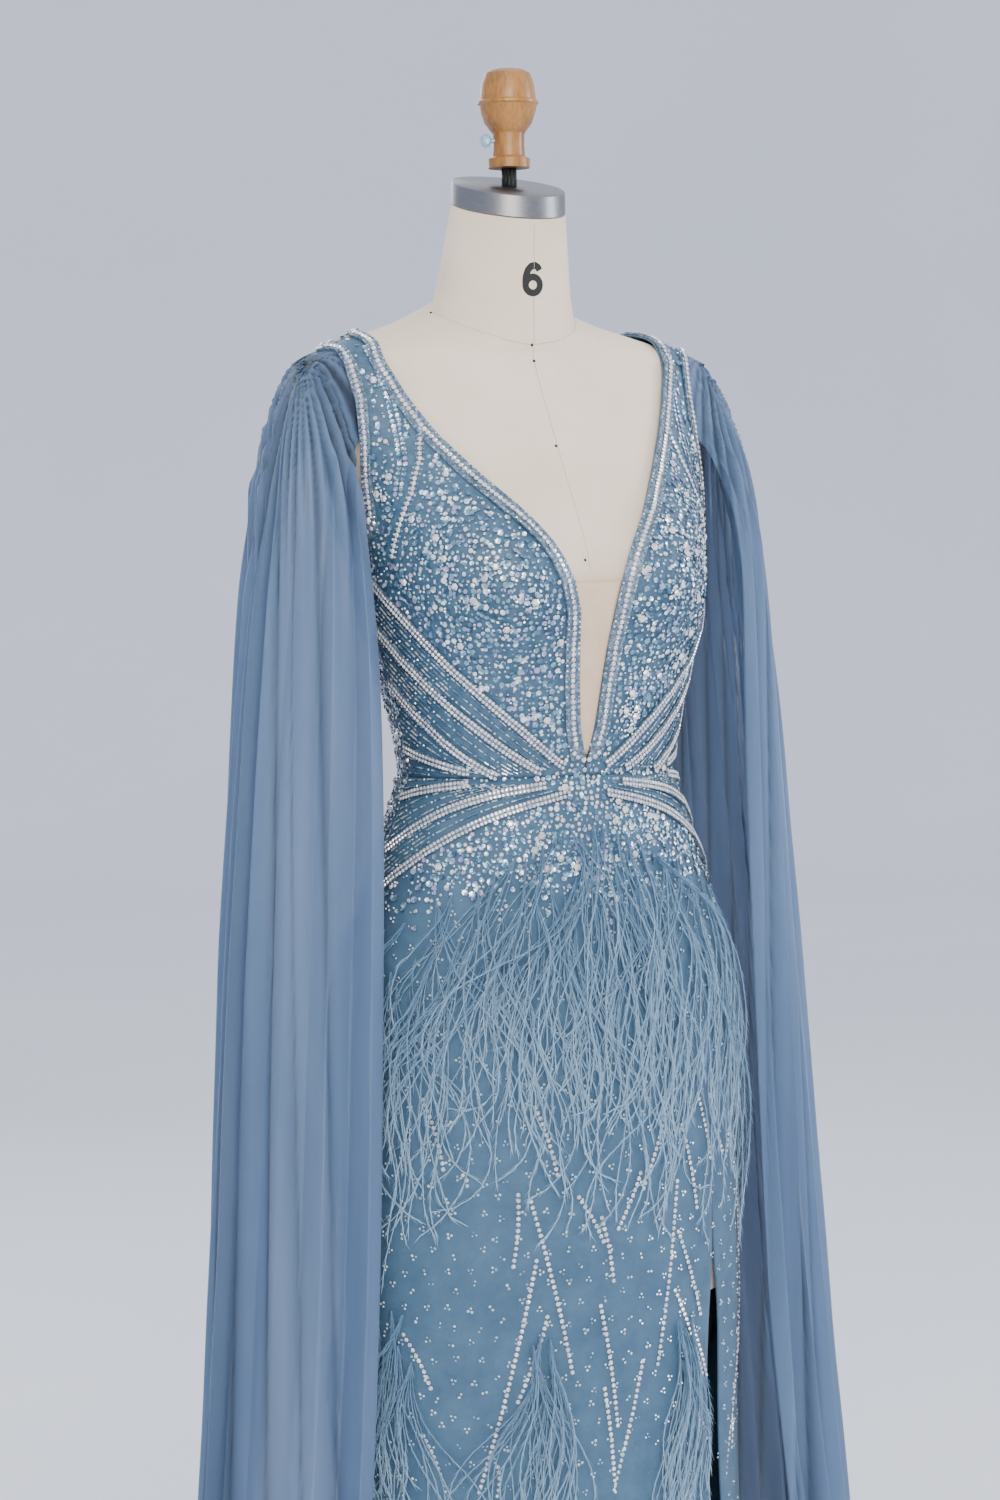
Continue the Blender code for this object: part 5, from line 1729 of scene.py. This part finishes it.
@dataclass
class Capes:
    """The two pleated cape sleeves, each round an upright line beside the body. Lengths are in metres."""

    middle_x: float = 0.205
    middle_y: float = 0.022
    flat: tuple[float, float] = (0.44, 1.44)
    area: float = 0.60

    # Pleats in each half turn on the wearer's right and left, how high they rise, and how much that varies
    pleats: tuple[float, float] = (8.0, 13.0)
    pleat_rise: float = 0.0085
    least_rise: float = 0.35
    more_rise: float = 1.1
    roundness: float = 0.5

    # The gathers under the armhole seam, which fade out lower down, and the soft crumples everywhere
    gathers: float = 34.0
    gather_drift: float = 3.0
    gather_rise: float = 0.0036
    crumple_rise: float = 0.0011
    armholes: Ground = field(default_factory=lambda: Ground(ARMHOLE_BANDS))

    def turn_of(self, point: Vector) -> tuple[float, float, Vector]:
        """Where a point lies round its cape.

        Args:
            point: A point of either cape.

        Returns:
            The side (+1 is the wearer's left), the turn in radians from straight out, and the way out.
        """
        side = 1.0 if point.x > 0.0 else -1.0
        away = Vector((point.x - side * self.middle_x, point.y - self.middle_y, 0.0))
        return side, math.atan2(away.y, away.x * side), away.normalized()

    def ridge(self, turn: float, side: float, height: float) -> float:
        """The pleats' height at a place.

        Args:
            turn: Radians round the cape.
            side: The cape's side.
            height: Metres above the floor.

        Returns:
            From 0 in a sharp valley to 1 on a round crest.
        """
        drift = noise.noise(Vector((turn * 1.1, side * 3.0, height * 0.5)))
        fine = noise.noise(Vector((turn * 3.1, side * 5.0, height * 0.8)))
        pleats = self.pleats[side > 0.0]
        return abs(math.sin(pleats * turn + 2.6 * drift + 0.5 * fine + side)) ** self.roundness

    def gather(self, turn: float, side: float) -> float:
        """The gathers' height at a turn round the cape, from -1 to 1."""
        drift = noise.noise(Vector((turn * 4.0, side, 0.0)))
        return math.sin(self.gathers * turn + self.gather_drift * drift)

    def crease(self, point: Vector) -> Vector:
        """Pleats and soft crumples down the length, and fine gathers below the armhole seam.

        Args:
            point: A point of the cloth.

        Returns:
            How far it moves.
        """
        side, turn, away = self.turn_of(point)
        distance = self.armholes.tree.find_nearest(point)[3]
        start = smoothstep(0.003, 0.020, distance)
        patch = noise.noise(Vector((turn * 2.6, 7.0 * side, point.z * 0.7)))
        uneven = self.least_rise + self.more_rise * abs(patch)
        pleated = smoothstep(1.42, 1.22, point.z)
        pleat = (self.ridge(turn, side, point.z) - 0.5) * self.pleat_rise * uneven * pleated
        gathered = smoothstep(1.18, 1.36, point.z)
        crumple = noise.noise(Vector((turn * 6.0, side, point.z * 7.0))) * self.crumple_rise
        return away * start * (pleat + self.gather(turn, side) * self.gather_rise * gathered + crumple)

    def fold(self, point: Vector) -> float:
        """How much painted shade the cloth takes: in a pleat's valley and in a gather, with random darker
        patches where layers lie over each other.

        Args:
            point: A point of the cloth.

        Returns:
            From 0 in the open to 1 at the darkest.
        """
        side, turn, _ = self.turn_of(point)
        # Painted shade: deepest in the pleats' valleys and the gathers' hollows; the layers noise adds random
        # darker patches
        valley = (1.0 - self.ridge(turn, side, point.z)) ** 1.6
        layers = noise.noise(Vector((turn * 2.2, 11.0 * side, point.z * 0.35)))
        gathered = smoothstep(1.22, 1.38, point.z)
        gather = 0.5 - 0.5 * self.gather(turn, side)
        depth = 1.05 * valley * (1.0 - 0.6 * gathered) + 0.85 * gathered * gather ** 2 + 0.75 * layers
        return min(1.0, max(0.0, depth))

    def build(self) -> None:
        """Makes both cape sleeves."""
        for side in SIDES:
            shell = ClothShell(f"cape_{side}", CHIFFON, "chiffon", self.flat, self.area, Held.GATHERED,
                               f"armhole_band_front_{side}", 3, self.crease, self.fold)
            shell.build(f"cape_{side}_chiffon")


# Feathers

@dataclass(frozen=True)
class Tuft:
    """One row or bunch of feathers: where its roots run, how many there are, and how long their strands are.

    Angles are in degrees round the figure, and heights and lengths in metres. Spread is how far clumps lean
    sideways, in radians.
    """

    node: str
    first_angle: float
    last_angle: float
    middle_root: float
    end_root: float
    roots: int
    rows: int
    strands: int
    shortest: float
    longest: float
    spread: float


@dataclass
class Feathers:
    """Every row and bunch of feathers, each in place of its CAD node. Lengths are in metres."""

    ground: Ground
    first_seed: int = SEED + 20
    barb_length: float = 0.0100
    barb_pitch: float = 0.0023
    shaft_radius: float = 0.0005
    row_drop: float = 0.040
    clumping: float = 0.07
    steps: int = 18

    # How far a strand lies off the cloth at its root, at least in its middle, and at most beyond that
    root_lift: float = 0.0014
    middle_lift: float = 0.0015
    layer_lift: float = 0.0150
    tufts: tuple[Tuft, ...] = (
        Tuft("feathers_front", -87.0, 87.0, 1.022, 0.925, 26, 3, 4, 0.13, 0.28, 0.22),
        Tuft("feathers_back", 95.0, 265.0, 1.000, 0.925, 22, 3, 4, 0.13, 0.26, 0.22),
        Tuft("feather_bunch_right", -79.0, -68.0, 0.607, 0.600, 3, 2, 7, 0.13, 0.23, 0.15),
        Tuft("feather_bunch_middle", -33.0, -23.0, 0.582, 0.576, 3, 2, 7, 0.14, 0.25, 0.15),
        Tuft("feather_bunch_left", 32.0, 42.0, 0.575, 0.570, 3, 2, 7, 0.13, 0.21, 0.15),
        Tuft("feather_bunch_back_left", 111.0, 123.0, 0.592, 0.588, 3, 2, 7, 0.13, 0.23, 0.15),
        Tuft("feather_bunch_back_right", 237.0, 249.0, 0.592, 0.588, 3, 2, 7, 0.13, 0.23, 0.15),
    )

    def build(self) -> None:
        """Makes each tuft."""
        barb = self.barb()
        for number, tuft in enumerate(self.tufts):
            self.tuft(tuft, barb, random.Random(self.first_seed + number))
        bpy.data.objects.remove(barb)

    def barb(self) -> bpy.types.Object:
        """Makes the pattern of every barb: a three-sided spike 1 m long that leans forward along the strand.

        Returns:
            The pattern, outside the scene.
        """
        lean = math.radians(21.0)
        tip = Vector((math.sin(lean), 0.0, math.cos(lean)))
        base = [Vector((0.0, 0.045, 0.0)), Vector((0.0, -0.045, 0.0)), Vector((0.045, 0.0, 0.05))]
        mesh = bpy.data.meshes.new("barb")
        mesh.from_pydata([*base, tip], [], [(0, 1, 3), (1, 2, 3), (2, 0, 3)])
        return bpy.data.objects.new("barb", mesh)

    def strand(self, angle: float, root: float, length: float, lean: float, phase: float,
               chance: random.Random) -> list[Vector]:
        """The points of one strand, which bends one way and then the other and curls at its tip.

        Args:
            angle: Where its root lies round the figure.
            root: The root's height.
            length: Its length in metres.
            lean: How far its clump leans sideways at the root, in radians.
            phase: Where in its bends the clump starts, in radians.
            chance: The row's own chances.

        Returns:
            The points, or an empty list where the skirt leaves a gap.
        """
        heading = lean + chance.gauss(0.0, self.clumping)
        bend, phase = chance.uniform(2.6, 6.2), phase + chance.gauss(0.0, 0.5)
        waves, curl = chance.uniform(0.8, 1.4), chance.gauss(0.0, 17.0)
        layer = chance.random()
        step = length / self.steps
        height = root
        points = []
        for k in range(self.steps + 1):
            down = k / self.steps
            spot = self.ground.around(angle, height)
            if not spot:
                break
            rise = self.middle_lift + self.layer_lift * layer * layer
            points.append(spot.out(self.root_lift + rise * math.sin(math.pi * min(1.0, 0.06 + 0.86 * down))))
            heading += step * (bend * math.sin(math.tau * waves * down + phase) * 2.2
                               + curl * smoothstep(0.64, 1.0, down) - 4.5 * heading)
            angle += math.degrees(math.sin(heading) * step / radius_of(spot.point))
            height -= math.cos(heading) * step
        return points if len(points) > 4 else []

    def tuft(self, tuft: Tuft, barb: bpy.types.Object, chance: random.Random) -> None:
        """Makes one row or bunch and puts it in place of its node.

        Args:
            tuft: The row or bunch.
            barb: The barbs' pattern.
            chance: Its own chances.
        """
        curve = bpy.data.curves.new(f"{tuft.node}_strands", "CURVE")
        curve.dimensions = "3D"
        for row in range(tuft.rows):
            for index in range(tuft.roots):
                share = (index + 0.5 * (row % 2) + chance.uniform(0.0, 0.5)) / tuft.roots
                angle = tuft.first_angle + (tuft.last_angle - tuft.first_angle) * min(1.0, share)
                arch = 1.0 - abs(2.0 * min(1.0, share) - 1.0) ** 1.6
                root = tuft.end_root + (tuft.middle_root - tuft.end_root) * arch
                root -= row * self.row_drop * chance.uniform(0.7, 1.3) + chance.uniform(0.0, 0.012)
                lean, phase = chance.gauss(0.0, tuft.spread), chance.uniform(0.0, math.tau)
                for _ in range(tuft.strands + chance.choice((-1, 0, 0, 1))):
                    length = tuft.shortest + (tuft.longest - tuft.shortest) * chance.random()
                    points = self.strand(angle, root, length, lean, phase, chance)
                    if points:
                        add_line(curve, points)
        item = new_object(f"{tuft.node}_strands", curve)
        set_inputs(item, plume_tree(), {"Barb": barb, "Material": OSTRICH.material(), "Seed": SEED,
                                        "Shaft Radius": self.shaft_radius, "Barb Pitch": self.barb_pitch,
                                        "Barb Length": self.barb_length})
        keep(baked(item, f"{tuft.node}_plumes"), (tuft.node,))


# Dress form

@dataclass(frozen=True)
class HardSkin:
    """A hard piece on its CAD solid's own shape, shaded smooth where it bends by less than some degrees."""

    node: str
    finish: Finish
    slot: str
    sharp_from: float = 35.0
    body: str = "root"

    def shape(self, bm: bmesh.types.BMesh) -> None:
        """Takes the node's mesh with its triangles joined up."""
        bm.from_mesh(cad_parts[self.node].data)
        bmesh.ops.remove_doubles(bm, verts=bm.verts, dist=0.01 * MM)

    def build(self) -> bpy.types.Object:
        """Makes the piece in place of its node.

        Returns:
            The piece.
        """
        bm = bmesh.new()
        self.shape(bm)
        mesh = bpy.data.meshes.new(f"{self.node}_skin")
        bm.to_mesh(mesh)
        bm.free()
        mesh.shade_smooth()
        mesh.set_sharp_from_angle(angle=math.radians(self.sharp_from))
        mesh.materials.append(self.finish.material())
        return keep(new_object(f"{self.node}_skin", mesh), (self.node,), self.body)


@dataclass(frozen=True)
class TurnedSkin(HardSkin):
    """A turned piece: its CAD solid's own profile, turned again in many more sides."""

    sides: int = 72

    def shape(self, bm: bmesh.types.BMesh) -> None:
        """Measures the node's profile, height by height, and turns it.

        Args:
            bm: Takes the shape.
        """
        points = [vertex.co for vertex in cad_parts[self.node].data.vertices]
        middle_x = 0.5 * (min(point.x for point in points) + max(point.x for point in points))
        middle_y = 0.5 * (min(point.y for point in points) + max(point.y for point in points))
        profile: dict[float, float] = {}
        for point in points:
            height = round(point.z, 4)
            radius = math.hypot(point.x - middle_x, point.y - middle_y)
            profile[height] = max(profile.get(height, 0.0), radius)
        rings = []
        for height, radius in sorted(profile.items()):
            ring = [(middle_x + radius * math.cos(t), middle_y + radius * math.sin(t), height)
                    for t in turns_of(self.sides)]
            rings.append([bm.verts.new(place) for place in ring])
        for low, high in zip(rings, rings[1:]):
            for k in range(self.sides):
                j = (k + 1) % self.sides
                bm.faces.new((low[k], low[j], high[j], high[k]))
        bm.faces.new(rings[0][::-1])
        bm.faces.new(rings[-1])


@dataclass
class DressForm:
    """The form, its cap, finial and stand, the printed size, the seams and the pin heads."""

    form: Ground
    camera: PhotoCamera

    # The printed 6: its middle in the photograph in pixels, and its bowl's half width, half height and
    # middle and its strokes' width and faces in metres
    size_pixel: tuple[float, float] = (533.0, 279.0)
    bowl: tuple[float, float, float] = (0.0072, 0.0071, -0.0053)
    bowl_points: int = 36
    stroke: float = 0.0062
    bowl_face: float = 0.30 * MM
    stem_face: float = 0.26 * MM
    stem_points: int = 28
    off_canvas: float = 0.05 * MM
    pin_size: float = 0.0032

    # The seams: half their thickness, the height of their top, and each upright one's length and steps
    seam_radius: float = 0.30 * MM
    seam_top: float = 1.570
    front_seam: tuple[float, int] = (0.325, 50)
    back_seam: tuple[float, int] = (0.225, 40)
    collar_points: int = 40

    # The curved stem of the 6, from its bowl to its end: x and y from the digit's middle, in millimetres
    stem: tuple[tuple[float, float], ...] = (
        (-7.2, -5.3), (-7.2, -1.2), (-6.7, 3.2), (-5.0, 8.0), (-1.9, 11.4), (1.8, 12.3), (4.9, 10.7),
        (6.4, 7.9),
    )

    # Pin heads on the canvas, as they lie in the photograph: x and y in pixels
    pins: tuple[tuple[float, float], ...] = ((532, 345), (534, 361), (556, 446), (585, 560), (431, 313))

    # The neck seam from the shoulder to the centre front, as it lies in the photograph: x and y in pixels
    neck_seam: tuple[tuple[float, float], ...] = ((436, 314), (455, 323), (480, 332), (506, 340), (532, 345))

    skins: tuple[HardSkin, ...] = (
        HardSkin("form_torso", CANVAS, "canvas", 50.0),
        HardSkin("form_lower_block", NEAR_BLACK_BLOCK, "block_black", 50.0),
        HardSkin("neck_cap", STEEL_CAP, "cap_metal", 22.0),
        HardSkin("finial_rod", BLACK_PAINT, "rod_black"),
        TurnedSkin("finial", BEECH, "finial_wood", 32.0),
        HardSkin("finial_screw", ACRYLIC, "knob_acrylic", 12.0),
        HardSkin("stand_pole", STAND_STEEL, "stand_metal"),
        HardSkin("stand_base", STAND_STEEL, "stand_metal"),
        HardSkin("zip_slider", ZIP_ENAMEL, "zip_metal", 30.0),
        HardSkin("zip_pull", ZIP_ENAMEL, "zip_metal", 30.0, "pull"),
    )

    def build(self, shapes: BeadShapes) -> None:
        """Finishes the form and the bands' settings.

        Args:
            shapes: The beads' patterns, for the pin heads.
        """
        for skin in self.skins:
            skin.build()
        for node in NECKLINE_BANDS + ARMHOLE_BANDS + MIDRIFF_BANDS:
            HardSkin(node, SETTING, "stone_band", 40.0).build()
        self.print_size()
        self.seams()
        self.pin_heads(shapes)

    def print_size(self) -> None:
        """Prints the plain size number 6 on the front of the neck, as a ring and a curved stem."""
        wide, tall, middle = self.bowl
        ring = [Vector((wide * math.cos(t), middle + tall * math.sin(t), 0.0))
                for t in turns_of(self.bowl_points)]
        corners = [Vector((x * MM, y * MM, 0.0)) for x, y in self.stem]
        stem = [point_at(corners, k / self.stem_points) for k in range(self.stem_points + 1)]
        bm = bmesh.new()
        self.ribbon(bm, ring, True, self.bowl_face)
        self.ribbon(bm, stem, False, self.stem_face)
        bmesh.ops.recalc_face_normals(bm, faces=bm.faces)
        mesh = bpy.data.meshes.new("size_number")
        bm.to_mesh(mesh)
        bm.free()
        mesh.materials.append(PRINT.material())
        keep(new_object("size_number", mesh))

    def ribbon(self, bm: bmesh.types.BMesh, line: Sequence[Vector], closed: bool, top: float) -> None:
        """Adds a flat closed stroke along a line, laid on the neck.

        Args:
            bm: Takes the stroke.
            line: Its middle line, on the flat.
            closed: Whether it ends where it starts.
            top: How far its face stands off the canvas.
        """
        centre = self.form.along(*self.camera.ray(*self.size_pixel)).point
        start_angle = math.degrees(math.atan2(centre.x, NECK_AXIS_Y - centre.y))
        radius = math.hypot(centre.x, centre.y - NECK_AXIS_Y)
        count = len(line)
        rings = []
        for k, point in enumerate(line):
            before = line[k - 1] if closed or k else line[0]
            after = line[(k + 1) % count] if closed or k < count - 1 else line[-1]
            ahead = (after - before).normalized()
            across = Vector((-ahead.y, ahead.x, 0.0)) * 0.5 * self.stroke
            ring = []
            for flat, out in ((point - across, 0.0), (point + across, 0.0), (point + across, top),
                              (point - across, top)):
                angle = start_angle + math.degrees(flat.x / radius)
                spot = self.form.around(angle, centre.z + flat.y, NECK_AXIS_Y)
                ring.append(bm.verts.new(spot.out(out + self.off_canvas)))
            rings.append(ring)
        for a, b in zip(rings, rings[1:] + rings[:1] if closed else rings[1:]):
            for i in range(4):
                j = (i + 1) % 4
                bm.faces.new((a[i], a[j], b[j], b[i]))
        if not closed:
            bm.faces.new(rings[0])
            bm.faces.new(rings[-1])

    def upright_seam(self, angle: float, length: float, steps: int) -> list[Spot]:
        """The places down one of the form's centre seams.

        Args:
            angle: Degrees round the neck from the front.
            length: Metres from the seam's top to its end.
            steps: How many steps it is walked in.

        Returns:
            The places on the canvas.
        """
        spots = [self.form.around(angle, self.seam_top - length * k / steps, NECK_AXIS_Y)
                 for k in range(steps + 1)]
        return [spot for spot in spots if spot]

    def seams(self) -> None:
        """Sews the form's centre seams and neck seam as fine raised lines."""
        traced = [self.form.along(*self.camera.ray(x, y)) for x, y in self.neck_seam]
        half = [spot.point for spot in traced if spot]
        round_front = half + [Vector((-point.x, point.y, point.z)) for point in reversed(half[:-1])]
        collar = []
        for k in range(self.collar_points + 1):
            nearest = self.form.tree.find_nearest(point_at(round_front, k / self.collar_points))
            collar.append(Spot(nearest[0], nearest[1]))
        curve = bpy.data.curves.new("form_seams", "CURVE")
        curve.dimensions = "3D"
        curve.bevel_depth = self.seam_radius
        curve.bevel_resolution = 1
        curve.use_fill_caps = True
        front = self.upright_seam(0.0, *self.front_seam)
        back = self.upright_seam(180.0, *self.back_seam)
        for line in (front, back, collar):
            add_line(curve, [spot.point for spot in line])
        piece = baked(new_object("form_seams_line", curve), "form_seams")
        piece.data.materials.clear()
        piece.data.materials.append(SEAM_THREAD.material())
        keep(piece)

    def pin_heads(self, shapes: BeadShapes) -> None:
        """Pushes the pins in where the photograph shows them.

        Args:
            shapes: The beads' patterns, of which the heads take the round one.
        """
        work = BeadWork(Bead.ROUND, BLACK_PAINT)
        for x, y in self.pins:
            spot = self.form.along(*self.camera.ray(x, y))
            if spot:
                work.add(spot.out(0.3 * MM), spot.normal, Vector((1.0, 0.0, 0.0)), self.pin_size)
        work.sew("pin_heads", shapes, 0.0, "rod_black")


def main() -> None:
    """Builds the whole scene, piece by piece."""
    logging.basicConfig(level=logging.INFO, format="%(name)s: %(message)s")
    camera = PhotoCamera()
    camera.build()
    Studio().build()
    shapes = BeadShapes()
    shapes.build()
    form = Ground(("form_torso",))
    skirt_ground = Ground(SKIRT_NODES)
    DressForm(form, camera).build(shapes)
    Bodice(Ground(BODICE_NODES + SKIRT_NODES), form, camera, shapes).build()
    Skirt(skirt_ground, camera, shapes).build()
    Capes().build()
    Feathers(skirt_ground).build()
    shapes.clear()
    boxes = {"cad": CAD_BOX, "visual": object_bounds()}
    {name: [list(corner) for corner in box] for name, box in boxes.items()}


if __name__ == "__main__":
    main()
